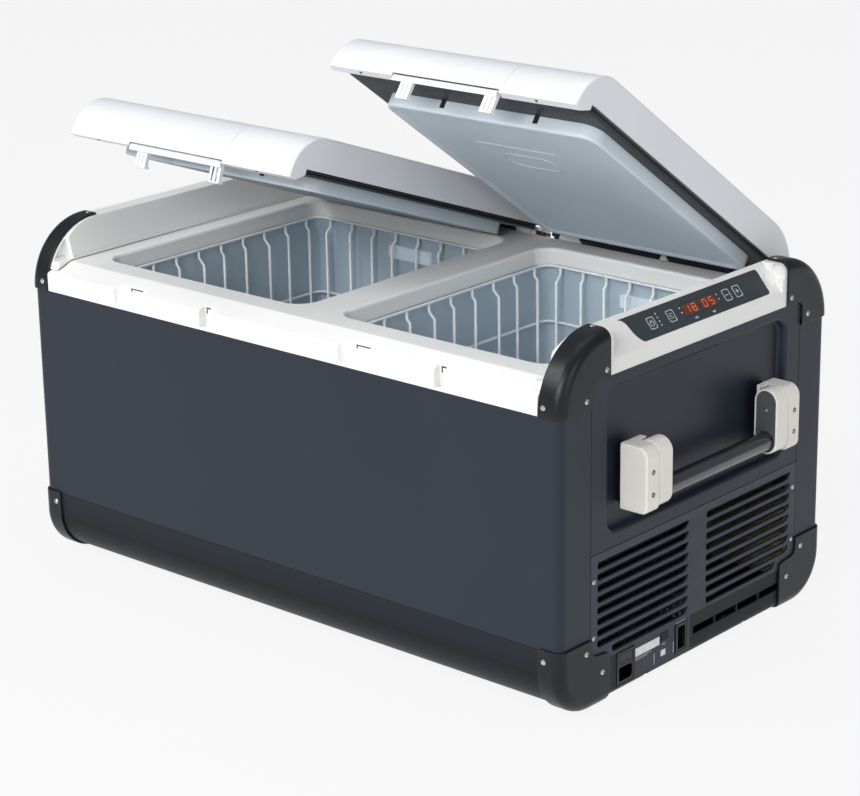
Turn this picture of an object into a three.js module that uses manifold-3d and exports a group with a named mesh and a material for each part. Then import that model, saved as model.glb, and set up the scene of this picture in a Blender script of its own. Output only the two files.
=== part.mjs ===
// A dual-compartment compressor cooler fridge for vehicles.
// Units are millimetres. +X runs right along the long front, +Y runs to the rear and +Z is up.
// The origin is the centre of the footprint on the floor.
import * as THREE from 'three';
import { mergeVertices } from 'three/addons/utils/BufferGeometryUtils.js';
import Module from 'manifold-3d';

const wasm = await Module();
wasm.setup();

// ---- driving dimensions ----
const HALF_LENGTH = 437;
const HALF_DEPTH = 265;
const HEIGHT = 450;
const TOP_RADIUS = 86;
const BASE_RADIUS = 58;
const EDGE_RADIUS = 14;
const GAP = 0.3;
const CASING_INSET = 3;
const GUARD_WALL = 2.7;

// heights of the seams
const GUARD_TOP = 88;
const TRAY_TOP = 86;
const GRILLE_BOTTOM = 54;
const GRILLE_TOP = 188;
const RIM_BOTTOM = 364;
const RIM_STEP = 388;
const END_PANEL_TOP = 393.5;
const DECK = 400;

// corner pieces
const CORNER_INNER_X = 404;
const END_SEAM_Y = 206;
const CAP_TOP_Y = 174;
const GUARD_FOOT_Y = 172;

// compartments
const OPENING_HALF_DEPTH = 198;
const LARGE_OPENING = [-363, -15];
const SMALL_OPENING = [44, 370];
const OPENING_RADIUS = 26;
const LINER_WALL = 2.5;
const RIM_UNDERSIDE = 378;
const LARGE_FLOOR = 50;
const SMALL_FLOOR = 224;
const BAY_TOP = 190;
const BAY_LEFT = 60;

// lids
const HINGE_Y = 250;
const HINGE_Z = 397;
const HINGE_PIN_RADIUS = 3;
const LEFT_LID = { x0: -376, x1: 8, open: 19.8, latch: [-267, -106], plug: LARGE_OPENING };
const RIGHT_LID = { x0: 16, x1: 384, open: 35.3, latch: [116, 273], plug: SMALL_OPENING };
const LID_REAR_BOTTOM = 401;
const LID_SIDE_BOTTOM = 408.3;
const LID_WALL = 3.5;

// carrying handles
const RECESS_HALF_WIDTH = 174;
const RECESS_BOTTOM = 208;
const RECESS_TOP = 378;
const RECESS_DEPTH = 10.5;
const HANDLE_FRONT = HALF_LENGTH + 35;
const ARM_RADIUS = 16.5;
const ARM_X = HANDLE_FRONT - ARM_RADIUS;
const ARM_BOTTOM_Z = 247;
const ARM_TOP_Z = 295.5;
const TUBE_RADIUS = 11.7;
const ARM_INNER_Y = 104;
const BLOCK_SEAM_Y = 128.5;
const BRACKET_OUTER_Y = 153;
const BRACKET_BOTTOM = 230.5;
const BRACKET_TOP = 310.5;

const DEG = Math.PI / 180;

// ---- shape helpers ----
function polygon(points) {
  return new THREE.Shape(points.map(([a, b]) => new THREE.Vector2(a, b)));
}

function rectangle(a0, a1, b0, b1) {
  return polygon([[a0, b0], [a1, b0], [a1, b1], [a0, b1]]);
}

function roundedRectangle(a0, a1, b0, b1, radius) {
  const shape = new THREE.Shape();
  shape.moveTo(a0 + radius, b0);
  shape.lineTo(a1 - radius, b0);
  shape.absarc(a1 - radius, b0 + radius, radius, -90 * DEG, 0, false);
  shape.lineTo(a1, b1 - radius);
  shape.absarc(a1 - radius, b1 - radius, radius, 0, 90 * DEG, false);
  shape.lineTo(a0 + radius, b1);
  shape.absarc(a0 + radius, b1 - radius, radius, 90 * DEG, 180 * DEG, false);
  shape.lineTo(a0, b0 + radius);
  shape.absarc(a0 + radius, b0 + radius, radius, 180 * DEG, 270 * DEG, false);
  return shape;
}

function disc(a, b, radius) {
  const shape = new THREE.Shape();
  shape.absarc(a, b, radius, 0, 360 * DEG, false);
  return shape;
}

// ---- solids: every helper returns a manifold solid ----
function solidFrom(geometry) {
  const bare = geometry.index ? geometry.toNonIndexed() : geometry.clone();
  bare.deleteAttribute('normal');
  bare.deleteAttribute('uv');
  const merged = mergeVertices(bare, 1e-4);
  return new wasm.Manifold(new wasm.Mesh({
    numProp: 3,
    vertProperties: Float32Array.from(merged.attributes.position.array),
    triVerts: Uint32Array.from(merged.index.array),
  }));
}

function geometryFrom(solid) {
  const mesh = solid.getMesh();
  const geometry = new THREE.BufferGeometry();
  geometry.setAttribute('position', new THREE.BufferAttribute(Float32Array.from(mesh.vertProperties), 3));
  geometry.setIndex(new THREE.BufferAttribute(Uint32Array.from(mesh.triVerts), 1));
  geometry.computeVertexNormals();
  return geometry;
}

// The outline pushed from one height to another, with its edge moved outward by grow.
function extruded(shape, from, to, segments, grow = 0) {
  const geometry = new THREE.ExtrudeGeometry(shape, {
    depth: to - from,
    curveSegments: segments,
    bevelEnabled: grow !== 0,
    bevelSegments: 0,
    bevelThickness: 0,
    bevelSize: 0,
    bevelOffset: grow,
  });
  return geometry.translate(0, 0, from);
}

const LOCAL_TO_YZX = new THREE.Matrix4().makeBasis(
  new THREE.Vector3(0, 1, 0), new THREE.Vector3(0, 0, 1), new THREE.Vector3(1, 0, 0));
const LOCAL_TO_ZXY = new THREE.Matrix4().makeBasis(
  new THREE.Vector3(0, 0, 1), new THREE.Vector3(1, 0, 0), new THREE.Vector3(0, 1, 0));

// A (y, z) outline pushed along X.
function alongX(shape, x0, x1, segments = 3) {
  return solidFrom(extruded(shape, x0, x1, segments).applyMatrix4(LOCAL_TO_YZX));
}

// A (z, x) outline pushed along Y.
function alongY(shape, y0, y1, segments = 3) {
  return solidFrom(extruded(shape, y0, y1, segments).applyMatrix4(LOCAL_TO_ZXY));
}

// An (x, y) outline pushed along Z.
function alongZ(shape, z0, z1, segments = 3) {
  return solidFrom(extruded(shape, z0, z1, segments));
}

function box(x0, x1, y0, y1, z0, z1) {
  return alongZ(rectangle(x0, x1, y0, y1), z0, z1);
}

function cut(solid, ...tools) {
  return tools.reduce((rest, tool) => rest.subtract(tool), solid);
}

function join(solid, ...others) {
  return others.reduce((sum, other) => sum.add(other), solid);
}

function meet(solid, other) {
  return solid.intersect(other);
}

// Swaps left for right or front for rear, keeping the faces outward.
function mirrored(solid, flipX, flipY) {
  const geometry = geometryFrom(solid);
  geometry.scale(flipX ? -1 : 1, flipY ? -1 : 1, 1);
  if (flipX !== flipY) {
    const index = geometry.index.array;
    for (let i = 0; i < index.length; i += 3) {
      [index[i], index[i + 1]] = [index[i + 1], index[i]];
    }
  }
  return solidFrom(geometry);
}

// ---- materials ----
function material(color, roughness, metalness) {
  return new THREE.MeshStandardMaterial({ color, roughness, metalness });
}

const COATED_SHEET = material('#3a3d45', 0.55, 0.2);
const DARK_PLASTIC = material('#2b2f35', 0.6, 0);
const WHITE_PLASTIC = material('#efefec', 0.45, 0);
const LID_WHITE = material('#f5f5f5', 0.4, 0);
const LINER_GREY = material('#d5dbdf', 0.5, 0);
const LID_GREY = material('#aab4b9', 0.5, 0);
const GASKET_BLACK = material('#23282b', 0.8, 0);
const FASCIA_DARK = material('#3b464b', 0.4, 0);
const DISPLAY_RED = material('#7d3a2e', 0.3, 0);
const HANDLE_WHITE = material('#ebe8e4', 0.45, 0);
const TUBE_BLACK = material('#17181a', 0.25, 0);
const BASKET_WHITE = material('#eef1f3', 0.4, 0);
const FOAM = material('#e5d9a8', 0.9, 0);
const COPPER_BLACK = material('#1b1c1e', 0.45, 0.2);
const ALUMINIUM = material('#b9bdc1', 0.35, 0.9);
const BOARD_GREY = material('#8d9296', 0.5, 0.6);
const STEEL = material('#c3c6c9', 0.3, 1);
const LIGHT_CLEAR = material('#e8f6ff', 0.2, 0);

const fridge = new THREE.Group();

function add(name, solid, finish, parent = fridge) {
  const mesh = new THREE.Mesh(geometryFrom(solid), finish);
  mesh.name = name;
  parent.add(mesh);
  return mesh;
}

// A group turned about the pivot; the pieces put into it are drawn in their unturned place.
function turnedGroup(pivot, rotation, parent = fridge) {
  const group = new THREE.Group();
  group.position.copy(pivot);
  group.rotation.copy(rotation);
  const inner = new THREE.Group();
  inner.position.copy(pivot).negate();
  group.add(inner);
  parent.add(group);
  return inner;
}

// ---- the outer envelope: a rounded box whose long top and base edges have large radii ----
function envelopeOutline(inset) {
  const side = HALF_DEPTH - inset;
  const top = HEIGHT - inset;
  const topRadius = TOP_RADIUS - inset;
  const baseRadius = BASE_RADIUS - inset;
  const shape = new THREE.Shape();
  shape.moveTo(baseRadius - side, inset);
  shape.lineTo(side - baseRadius, inset);
  shape.absarc(side - baseRadius, inset + baseRadius, baseRadius, -90 * DEG, 0, false);
  shape.lineTo(side, top - topRadius);
  shape.absarc(side - topRadius, top - topRadius, topRadius, 0, 90 * DEG, false);
  shape.lineTo(topRadius - side, top);
  shape.absarc(topRadius - side, top - topRadius, topRadius, 90 * DEG, 180 * DEG, false);
  shape.lineTo(-side, inset + baseRadius);
  shape.absarc(baseRadius - side, inset + baseRadius, baseRadius, 180 * DEG, 270 * DEG, false);
  return shape;
}

function envelope(inset) {
  const edge = EDGE_RADIUS - inset;
  const depth = 2 * (HALF_LENGTH - inset - edge);
  const geometry = new THREE.ExtrudeGeometry(envelopeOutline(inset), {
    depth,
    bevelEnabled: true,
    bevelThickness: edge,
    bevelSize: edge,
    bevelOffset: -edge,
    bevelSegments: 3,
    curveSegments: 4,
  });
  geometry.translate(0, 0, -depth / 2);
  return solidFrom(geometry.applyMatrix4(LOCAL_TO_YZX));
}

function envelopeShell(outerInset, innerInset) {
  return cut(envelope(outerInset), envelope(innerInset));
}

// a distance beyond every face, for cutting tools
const FAR = 600;
const outerEnvelope = envelope(CASING_INSET);

// ---- corner pieces ----
const CORNERS = [
  ['front_right', false, false],
  ['front_left', true, false],
  ['rear_right', false, true],
  ['rear_left', true, true],
];

function cornerShell(outline) {
  return meet(envelopeShell(0, GUARD_WALL), alongX(polygon(outline), CORNER_INNER_X, FAR));
}

// Each outline steps outward: a cap below the white housing, a guard above its narrow foot.
const STEP_CHAMFER = 6;
const GUARD_STEP_Z = 65;
const capOutline = [
  [-FAR, FAR], [-CAP_TOP_Y, FAR], [-CAP_TOP_Y, END_PANEL_TOP], [STEP_CHAMFER - END_SEAM_Y, END_PANEL_TOP],
  [-END_SEAM_Y, END_PANEL_TOP - STEP_CHAMFER], [-END_SEAM_Y, RIM_BOTTOM], [-FAR, RIM_BOTTOM],
];
const guardOutline = [
  [-FAR, -10], [-GUARD_FOOT_Y, -10], [-GUARD_FOOT_Y, GUARD_STEP_Z - STEP_CHAMFER],
  [-GUARD_FOOT_Y - STEP_CHAMFER, GUARD_STEP_Z], [STEP_CHAMFER - END_SEAM_Y, GUARD_STEP_Z],
  [-END_SEAM_Y, GUARD_STEP_Z + STEP_CHAMFER], [-END_SEAM_Y, GUARD_TOP], [-FAR, GUARD_TOP],
];
const frontRightCap = cornerShell(capOutline);
const frontRightGuard = cornerShell(guardOutline);
for (const [place, flipX, flipY] of CORNERS) {
  add(`top_cap_${place}`, mirrored(frontRightCap, flipX, flipY), DARK_PLASTIC);
  add(`base_guard_${place}`, mirrored(frontRightGuard, flipX, flipY), DARK_PLASTIC);
}

// ---- casing sheets: front and rear sheets wrap round the upright corners ----
function buildCasings() {
  const sheet = envelopeShell(CASING_INSET, CASING_INSET + 2);
  const band = box(-FAR, FAR, -FAR, -END_SEAM_Y - GAP, TRAY_TOP + GAP, RIM_BOTTOM - GAP);
  const front = meet(sheet, band);
  add('front_casing', front, COATED_SHEET);
  add('rear_casing', mirrored(front, false, true), COATED_SHEET);
}

// ---- end panels with the sunk pan that the carrying handle sits in ----
const PANEL_FACE = HALF_LENGTH - CASING_INSET;
const RECESS_FLOOR = PANEL_FACE - RECESS_DEPTH;

function endPanel(bottom) {
  const skin = 2.5;
  const side = END_SEAM_Y - GAP;
  const plate = box(PANEL_FACE - skin, PANEL_FACE, -side, side, bottom, END_PANEL_TOP);
  const pan = alongX(
    roundedRectangle(-RECESS_HALF_WIDTH - skin, RECESS_HALF_WIDTH + skin, RECESS_BOTTOM - skin,
      RECESS_TOP + skin, 16 + skin), RECESS_FLOOR - skin, PANEL_FACE);
  const hollow = alongX(
    roundedRectangle(-RECESS_HALF_WIDTH, RECESS_HALF_WIDTH, RECESS_BOTTOM, RECESS_TOP, 16),
    RECESS_FLOOR, FAR);
  return cut(join(plate, pan), hollow);
}

// ---- ventilation grille with two banks of slots, and the window for the power sockets ----
const SLOT_ROWS = 9;
const SLOT_PITCH = 13.7;
const SLOT_HEIGHT = 8.6;
const TOP_SLOT_Z = 173;
const SLOT_NEAR = 18;
const SLOT_FAR = 193;
const SHORT_SLOT_FAR = 165;
const SOCKET_BAY = { y0: -160, y1: -13, z0: 12 };
const AC_INLET = { y0: -156, y1: -125, z0: 13, z1: 52 };
const DC_SOCKET = { y0: -41, y1: -21, z0: 16, z1: 50 };
const SOCKET_DEPTH = 22;
const SOCKET_FLOOR = 5;
const PIN_SETBACK = 9;
const GRILLE_THICKNESS = 3;
const LOUVRE_DEPTH = 8;
const LOUVRE_THICKNESS = 1.5;

function slotOutline(y0, y1, z) {
  const low = z - SLOT_HEIGHT / 2;
  const high = z + SLOT_HEIGHT / 2;
  const shape = new THREE.Shape();
  shape.moveTo(y0 + 2, low);
  shape.lineTo(y1 - SLOT_HEIGHT, low);
  shape.quadraticCurveTo(y1, low, y1, high);
  shape.lineTo(y0 + 2, high);
  shape.quadraticCurveTo(y0, high, y0, high - 2);
  shape.lineTo(y0, low + 2);
  shape.quadraticCurveTo(y0, low, y0 + 2, low);
  return shape;
}

function buildGrille() {
  const side = END_SEAM_Y - GAP;
  const back = PANEL_FACE - GRILLE_THICKNESS;
  let grille = box(back, PANEL_FACE, -side, side, GRILLE_BOTTOM + GAP, GRILLE_TOP - GAP);
  const apron = box(back, PANEL_FACE, SOCKET_BAY.y0, SOCKET_BAY.y1, SOCKET_BAY.z0, GRILLE_BOTTOM + 1);
  grille = join(grille, apron);
  for (let row = 0; row < SLOT_ROWS; row += 1) {
    const z = TOP_SLOT_Z - row * SLOT_PITCH;
    const far = row === SLOT_ROWS - 1 ? SHORT_SLOT_FAR : SLOT_FAR;
    for (const [y0, y1] of [[-far, -SLOT_NEAR], [SLOT_NEAR, far]]) {
      const slot = alongX(slotOutline(y0, y1, z), back - 1, PANEL_FACE + 1, 4);
      const louvreTop = z + 6;
      const louvreFoot = louvreTop - LOUVRE_DEPTH;
      const louvre = alongY(polygon([
        [louvreTop, back + 0.5], [louvreTop - LOUVRE_THICKNESS, back + 0.5],
        [louvreFoot - LOUVRE_THICKNESS, back - LOUVRE_DEPTH], [louvreFoot, back - LOUVRE_DEPTH],
      ]), y0 - 3, y1 + 3);
      grille = join(cut(grille, slot), louvre);
    }
  }
  for (const { y0, y1, z0, z1 } of [AC_INLET, DC_SOCKET]) {
    grille = cut(grille, box(back - 1, FAR, y0 - GAP, y1 + GAP, z0 - GAP, z1 + GAP));
  }
  add('vent_grille', grille, DARK_PLASTIC);
}

// ---- power sockets in the grille's apron ----
const SOCKET_FACE = PANEL_FACE + 1;
const SOCKET_BACK = PANEL_FACE - SOCKET_DEPTH;
const PIN_ROOT = SOCKET_BACK + SOCKET_FLOOR - 1;
const DRAWER_BOTTOM = 37;
const DRAWER_DEPTH = 13.5;

function buildAcInlet() {
  const { y0, y1, z0, z1 } = AC_INLET;
  const left = y0 + 3;
  const right = y1 - 3;
  const low = z0 + 4;
  const high = DRAWER_BOTTOM - 3;
  const corner = 3;
  const mouth = polygon([
    [left, low], [right - corner, low], [right, low + corner], [right, high - corner], [right - corner, high],
    [left, high],
  ]);
  const cavity = alongX(mouth, SOCKET_BACK + SOCKET_FLOOR, SOCKET_FACE + 1);
  const drawerSlot = box(SOCKET_FACE - DRAWER_DEPTH - 0.5, SOCKET_FACE + 1, y0 + 2.5, y1 - 2.5,
    DRAWER_BOTTOM - GAP, z1 - 2);
  let inlet = cut(box(SOCKET_BACK, SOCKET_FACE, y0, y1, z0, z1), cavity, drawerSlot);
  const middle = (y0 + y1) / 2;
  for (const [dy, z] of [[-6, 22], [0, 29], [6, 22]]) {
    const y = middle + dy;
    const pin = box(PIN_ROOT, SOCKET_FACE - PIN_SETBACK, y - 1, y + 1, z - 2.5, z + 2.5);
    inlet = join(inlet, pin);
  }
  add('ac_inlet', inlet, DARK_PLASTIC);

  const side = 2.8;
  const drawer = box(SOCKET_FACE - DRAWER_DEPTH, SOCKET_FACE, y0 + side, y1 - side, DRAWER_BOTTOM, z1 - 2.3);
  const grip = box(SOCKET_FACE - 1, SOCKET_FACE + 0.6, y0 + 6, y1 - 6, DRAWER_BOTTOM + 1, DRAWER_BOTTOM + 3);
  add('fuse_drawer', join(drawer, grip), DARK_PLASTIC);
}

function buildDcSocket() {
  const { y0, y1, z0, z1 } = DC_SOCKET;
  const wall = 3;
  const cavity = box(SOCKET_BACK + SOCKET_FLOOR, SOCKET_FACE + 1, y0 + wall, y1 - wall, z0 + wall, z1 - wall);
  let socket = cut(box(SOCKET_BACK, SOCKET_FACE, y0, y1, z0, z1), cavity);
  const pinRadius = 2;
  const pinSpread = 7;
  for (const dz of [-pinSpread, pinSpread]) {
    const pin = disc((y0 + y1) / 2, (z0 + z1) / 2 + dz, pinRadius);
    socket = join(socket, alongX(pin, PIN_ROOT, SOCKET_FACE - PIN_SETBACK, 4));
  }
  add('dc_socket', socket, DARK_PLASTIC);
}

// ---- base tray: a moulded tub with the long drain slots on its right end ----
const TRAY_WALL = 3;
const END_WALL_X = 400;
const DRAIN = { y0: -6, length: 184, count: 4, rib: 3, z0: 28, z1: 37 };
const DRAIN_NOTCHES = [-96, 106];
const NOTCH_HALF_WIDTH = 5;
const NOTCH_TOP = 9;

function buildBaseTray() {
  const shell = envelopeShell(CASING_INSET, CASING_INSET + TRAY_WALL);
  let tray = meet(shell, box(-FAR, FAR, -FAR, FAR, -10, TRAY_TOP));
  const side = END_SEAM_Y;
  const aboveWall = box(END_WALL_X, FAR, -side, side, GRILLE_BOTTOM, FAR);
  const { y0, y1, z0 } = SOCKET_BAY;
  const socketWindow = box(END_WALL_X, FAR, y0 - GAP, y1 + GAP, z0 - GAP, FAR);
  tray = cut(tray, aboveWall, socketWindow);
  const pitch = DRAIN.length / DRAIN.count;
  for (let i = 0; i < DRAIN.count; i += 1) {
    const start = DRAIN.y0 + i * pitch;
    tray = cut(tray, box(END_WALL_X, FAR, start, start + pitch - DRAIN.rib, DRAIN.z0, DRAIN.z1));
  }
  for (const y of DRAIN_NOTCHES) {
    tray = cut(tray, box(END_WALL_X, FAR, y - NOTCH_HALF_WIDTH, y + NOTCH_HALF_WIDTH, -1, NOTCH_TOP));
  }
  add('base_tray', tray, DARK_PLASTIC);
}

// ---- white top rim: deck with two openings, sloped front strip, latch pockets, hinge trough ----
const RIM_FRONT = 263.5;
const TROUGH_Y = 236;
const TROUGH_Z = 383;
const RIM_STRIP_BACK = 240;
const POCKET_BACK = 252;
const POCKET_BOTTOM = 367;
const POCKET_SIDE = 2;
const SCOOP_LENGTH = 46;
const HOOK_WIDTH = 18;
const HOOK_INSET = 14;
const KNUCKLE_WIDTH = 24;
const SUPPORT_WIDTH = 12;

function openingOutline([x0, x1], grow) {
  const half = OPENING_HALF_DEPTH + grow;
  return roundedRectangle(x0 - grow, x1 + grow, -half, half, OPENING_RADIUS + grow);
}

// A latch bar carries one hook near its left end and one at its right end.
function hookSpans([x0, x1]) {
  return [[x0 + HOOK_INSET, x0 + HOOK_INSET + HOOK_WIDTH], [x1 - HOOK_WIDTH, x1]];
}

// The stretches of a hinge that belong to the rim; the lid's knuckles lie just inside them.
function supportSpans({ x0, x1 }) {
  const middle = (x0 + x1) / 2;
  return [x0 + 20, middle, x1 - 20].map((x) => [x - SUPPORT_WIDTH / 2, x + SUPPORT_WIDTH / 2]);
}

function knuckleSpans(lid) {
  const supports = supportSpans(lid);
  return [
    [supports[0][1] + 0.5, supports[0][1] + 0.5 + KNUCKLE_WIDTH],
    [supports[2][0] - 0.5 - KNUCKLE_WIDTH, supports[2][0] - 0.5],
  ];
}

function buildTopRim() {
  const rearLip = RIM_FRONT - 6;
  const outline = polygon([
    [-RIM_FRONT, RIM_BOTTOM], [-RIM_STRIP_BACK, RIM_BOTTOM], [-RIM_STRIP_BACK, RIM_UNDERSIDE],
    [rearLip, RIM_UNDERSIDE], [rearLip, RIM_BOTTOM], [RIM_FRONT, RIM_BOTTOM], [RIM_FRONT, TROUGH_Z],
    [TROUGH_Y, TROUGH_Z], [TROUGH_Y, DECK], [-234, DECK], [-RIM_FRONT + 1.5, RIM_STEP + 0.8],
    [-RIM_FRONT, RIM_STEP - 1],
  ]);
  const end = CORNER_INNER_X - GAP;
  let rim = alongX(outline, -end, end);
  for (const lid of [LEFT_LID, RIGHT_LID]) {
    rim = cut(rim, alongZ(openingOutline(lid.plug, 0), RIM_BOTTOM, DECK + 1, 4));
    const [first, second] = hookSpans(lid.latch);
    const scoop = [first[0] - 2 * POCKET_SIDE, first[0] + SCOOP_LENGTH];
    const pocket = [second[0] - POCKET_SIDE, second[1] + POCKET_SIDE];
    for (const [x0, x1] of [scoop, pocket]) {
      rim = cut(rim, box(x0, x1, -FAR, -POCKET_BACK, POCKET_BOTTOM, DECK + 1));
    }
    for (const [x0, x1] of supportSpans(lid)) {
      const ear = alongX(roundedRectangle(HINGE_Y - 6, HINGE_Y + 6, TROUGH_Z - 2, HINGE_Z + 6, 5.9), x0, x1);
      const bore = alongX(disc(HINGE_Y, HINGE_Z, HINGE_PIN_RADIUS + GAP), x0 - 1, x1 + 1, 6);
      rim = cut(join(rim, ear), bore);
    }
  }
  add('top_rim', rim, WHITE_PLASTIC);
}

// ---- end housings: the white walls that stand up beside the lids ----
const HOUSING_TOP = HEIGHT - CASING_INSET;
const HOUSING_INNER_TOP_X = 402;
const HOUSING_INNER_BOTTOM_X = 390;
const CHAMFER_TOP = [404, HOUSING_TOP];
const CHAMFER_BOTTOM = [434, 412];
const CHAMFER_HALF_WIDTH = 166;

function endHousing() {
  const section = polygon([
    [END_PANEL_TOP + GAP, FAR], [FAR, FAR], [FAR, HOUSING_INNER_TOP_X],
    [HOUSING_TOP, HOUSING_INNER_TOP_X], [DECK + GAP, HOUSING_INNER_BOTTOM_X],
    [DECK + GAP, CORNER_INNER_X], [END_PANEL_TOP + GAP, CORNER_INNER_X],
  ]);
  let housing = meet(outerEnvelope, alongY(section, -FAR, FAR));
  const recessOutline = envelopeOutline(CASING_INSET + 5);
  const recess = alongX(recessOutline, HOUSING_INNER_BOTTOM_X - 5, HOUSING_INNER_TOP_X + 6, 4);
  const aboveDeck = DECK + 4;
  const pocket = meet(recess, box(0, FAR, -FAR, -230, aboveDeck, FAR));
  const wideFace = box(0, HOUSING_INNER_BOTTOM_X + 2, -226, FAR, aboveDeck, FAR);
  housing = cut(housing, pocket, meet(recess, wideFace));
  return housing;
}

// The control face is a 45 degree chamfer; its own frame has x along +Y, y up the slope, z outward.
function controlFrame() {
  const along = new THREE.Vector3(0, 1, 0);
  const run = CHAMFER_TOP[0] - CHAMFER_BOTTOM[0];
  const rise = CHAMFER_TOP[1] - CHAMFER_BOTTOM[1];
  const upSlope = new THREE.Vector3(run, 0, rise).normalize();
  const outward = new THREE.Vector3().crossVectors(along, upSlope);
  const matrix = new THREE.Matrix4().makeBasis(along, upSlope, outward);
  matrix.setPosition((CHAMFER_TOP[0] + CHAMFER_BOTTOM[0]) / 2, 0, (CHAMFER_TOP[1] + CHAMFER_BOTTOM[1]) / 2);
  return matrix;
}

const CONTROL_FRAME = controlFrame();
const FASCIA = { y0: -128, y1: 146, low: -17, high: 17, thick: 1.6 };
const KEYS = [['power_key', -76], ['mode_key', -39], ['minus_key', 71], ['plus_key', 92]];
const KEY_HALF_WIDTH = 7;
const KEY_HALF_HEIGHT = 8;
const DISPLAY = { y0: -15, y1: 49, low: -8, high: 9 };

function onControlFace(shape, from, to, grow = 0) {
  return solidFrom(extruded(shape, from, to, 3, grow).applyMatrix4(CONTROL_FRAME));
}

// The fascia's left end sweeps in an S curve.
function fasciaOutline() {
  const left = FASCIA.y0;
  const right = FASCIA.y1;
  const { low, high } = FASCIA;
  const shape = new THREE.Shape();
  shape.moveTo(left + 26, low);
  shape.lineTo(right - 3, low);
  shape.quadraticCurveTo(right, low, right, low + 3);
  shape.lineTo(right, high - 3);
  shape.quadraticCurveTo(right, high, right - 3, high);
  shape.lineTo(left + 3, high);
  shape.bezierCurveTo(left + 20, high - 5, left + 8, low + 12, left + 26, low);
  return shape;
}

function keyOutline(y, grow) {
  return roundedRectangle(y - KEY_HALF_WIDTH - grow, y + KEY_HALF_WIDTH + grow,
    -KEY_HALF_HEIGHT - grow, KEY_HALF_HEIGHT + grow, 2.5);
}

function buildEndHousings() {
  const plain = endHousing();
  add('left_end_housing', mirrored(plain, true, false), WHITE_PLASTIC);

  const chamfer = alongY(polygon([
    [CHAMFER_TOP[1], CHAMFER_TOP[0]], [CHAMFER_BOTTOM[1], CHAMFER_BOTTOM[0]],
    [CHAMFER_BOTTOM[1], FAR], [FAR, FAR], [FAR, CHAMFER_TOP[0]],
  ]), -CHAMFER_HALF_WIDTH, CHAMFER_HALF_WIDTH);
  const bed = onControlFace(fasciaOutline(), -FASCIA.thick - 1, 20, GAP);
  const dimple = new THREE.SphereGeometry(14, 20, 12).translate(157, 0, 10.5).applyMatrix4(CONTROL_FRAME);
  let housing = cut(plain, chamfer, bed, solidFrom(dimple));
  for (const [, y] of KEYS) {
    housing = cut(housing, onControlFace(keyOutline(y, GAP), -4.5, 1));
  }
  add('control_housing', housing, WHITE_PLASTIC);

  let fascia = onControlFace(fasciaOutline(), -FASCIA.thick, 0);
  for (const [, y] of KEYS) {
    fascia = cut(fascia, onControlFace(keyOutline(y, GAP), -5, 5));
  }
  const window = rectangle(DISPLAY.y0 - GAP, DISPLAY.y1 + GAP, DISPLAY.low - GAP, DISPLAY.high + GAP);
  fascia = cut(fascia, onControlFace(window, -5, 5));
  add('control_fascia', fascia, FASCIA_DARK);
  const screen = rectangle(DISPLAY.y0, DISPLAY.y1, DISPLAY.low, DISPLAY.high);
  add('display_window', onControlFace(screen, -FASCIA.thick - 0.6, -0.2), DISPLAY_RED);
  for (const [name, y] of KEYS) {
    add(name, onControlFace(keyOutline(y, 0), -2.2, 0.2), FASCIA_DARK);
  }
}

// ---- foamed body: liners, evaporators, insulation ----
const EVAPORATOR_WALL = 1.6;
const EVAPORATOR_GROW = LINER_WALL + GAP;
const CAVITY_GROW = EVAPORATOR_GROW + EVAPORATOR_WALL + GAP;

function liner(opening, floor) {
  const outer = alongZ(openingOutline(opening, LINER_WALL), floor - LINER_WALL, RIM_UNDERSIDE - GAP);
  const inner = alongZ(openingOutline(opening, 0), floor, FAR);
  return cut(outer, inner);
}

function evaporator(opening, z0, z1) {
  const outer = alongZ(openingOutline(opening, EVAPORATOR_GROW + EVAPORATOR_WALL), z0, z1);
  const inner = alongZ(openingOutline(opening, EVAPORATOR_GROW), z0 - 1, z1 + 1);
  return cut(outer, inner);
}

function buildFoamedBody() {
  add('large_liner', liner(LARGE_OPENING, LARGE_FLOOR), LINER_GREY);
  add('small_liner', liner(SMALL_OPENING, SMALL_FLOOR), LINER_GREY);
  add('large_evaporator', evaporator(LARGE_OPENING, 90, 330), ALUMINIUM);
  add('small_evaporator', evaporator(SMALL_OPENING, 245, 340), ALUMINIUM);

  const foamEnd = RECESS_FLOOR - 3;
  const foamSide = RIM_FRONT - 7;
  const belowStrip = box(-foamEnd, foamEnd, -foamSide, foamSide, 0, RIM_BOTTOM - GAP);
  const belowDeck = box(-foamEnd, foamEnd, GAP - RIM_STRIP_BACK, foamSide, 0, RIM_UNDERSIDE - GAP);
  const block = meet(envelope(CASING_INSET + 3.5), join(belowStrip, belowDeck));
  const largeCavity = alongZ(openingOutline(LARGE_OPENING, CAVITY_GROW), LARGE_FLOOR - CAVITY_GROW, FAR);
  const smallCavity = alongZ(openingOutline(SMALL_OPENING, CAVITY_GROW), SMALL_FLOOR - CAVITY_GROW, FAR);
  const bay = box(BAY_LEFT, FAR, -236, 236, -10, BAY_TOP);
  add('insulation', cut(block, largeCavity, smallCavity, bay), FOAM);
}

// ---- baskets and interior lights ----
const BASKET_TOP = 381;
const BASKET_CLEARANCE = 7;
const BASKET_WALL = 3;

function basket(opening, floor) {
  const outer = alongZ(openingOutline(opening, -BASKET_CLEARANCE), floor + 6, BASKET_TOP);
  const inner = alongZ(openingOutline(opening, -BASKET_CLEARANCE - BASKET_WALL), floor + 9, FAR);
  return cut(outer, inner);
}

function interiorLight([x0, x1]) {
  const middle = (x0 + x1) / 2;
  const rear = OPENING_HALF_DEPTH - GAP;
  return alongY(roundedRectangle(340, 358, middle - 38, middle + 38, 4), rear - 4, rear);
}

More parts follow.
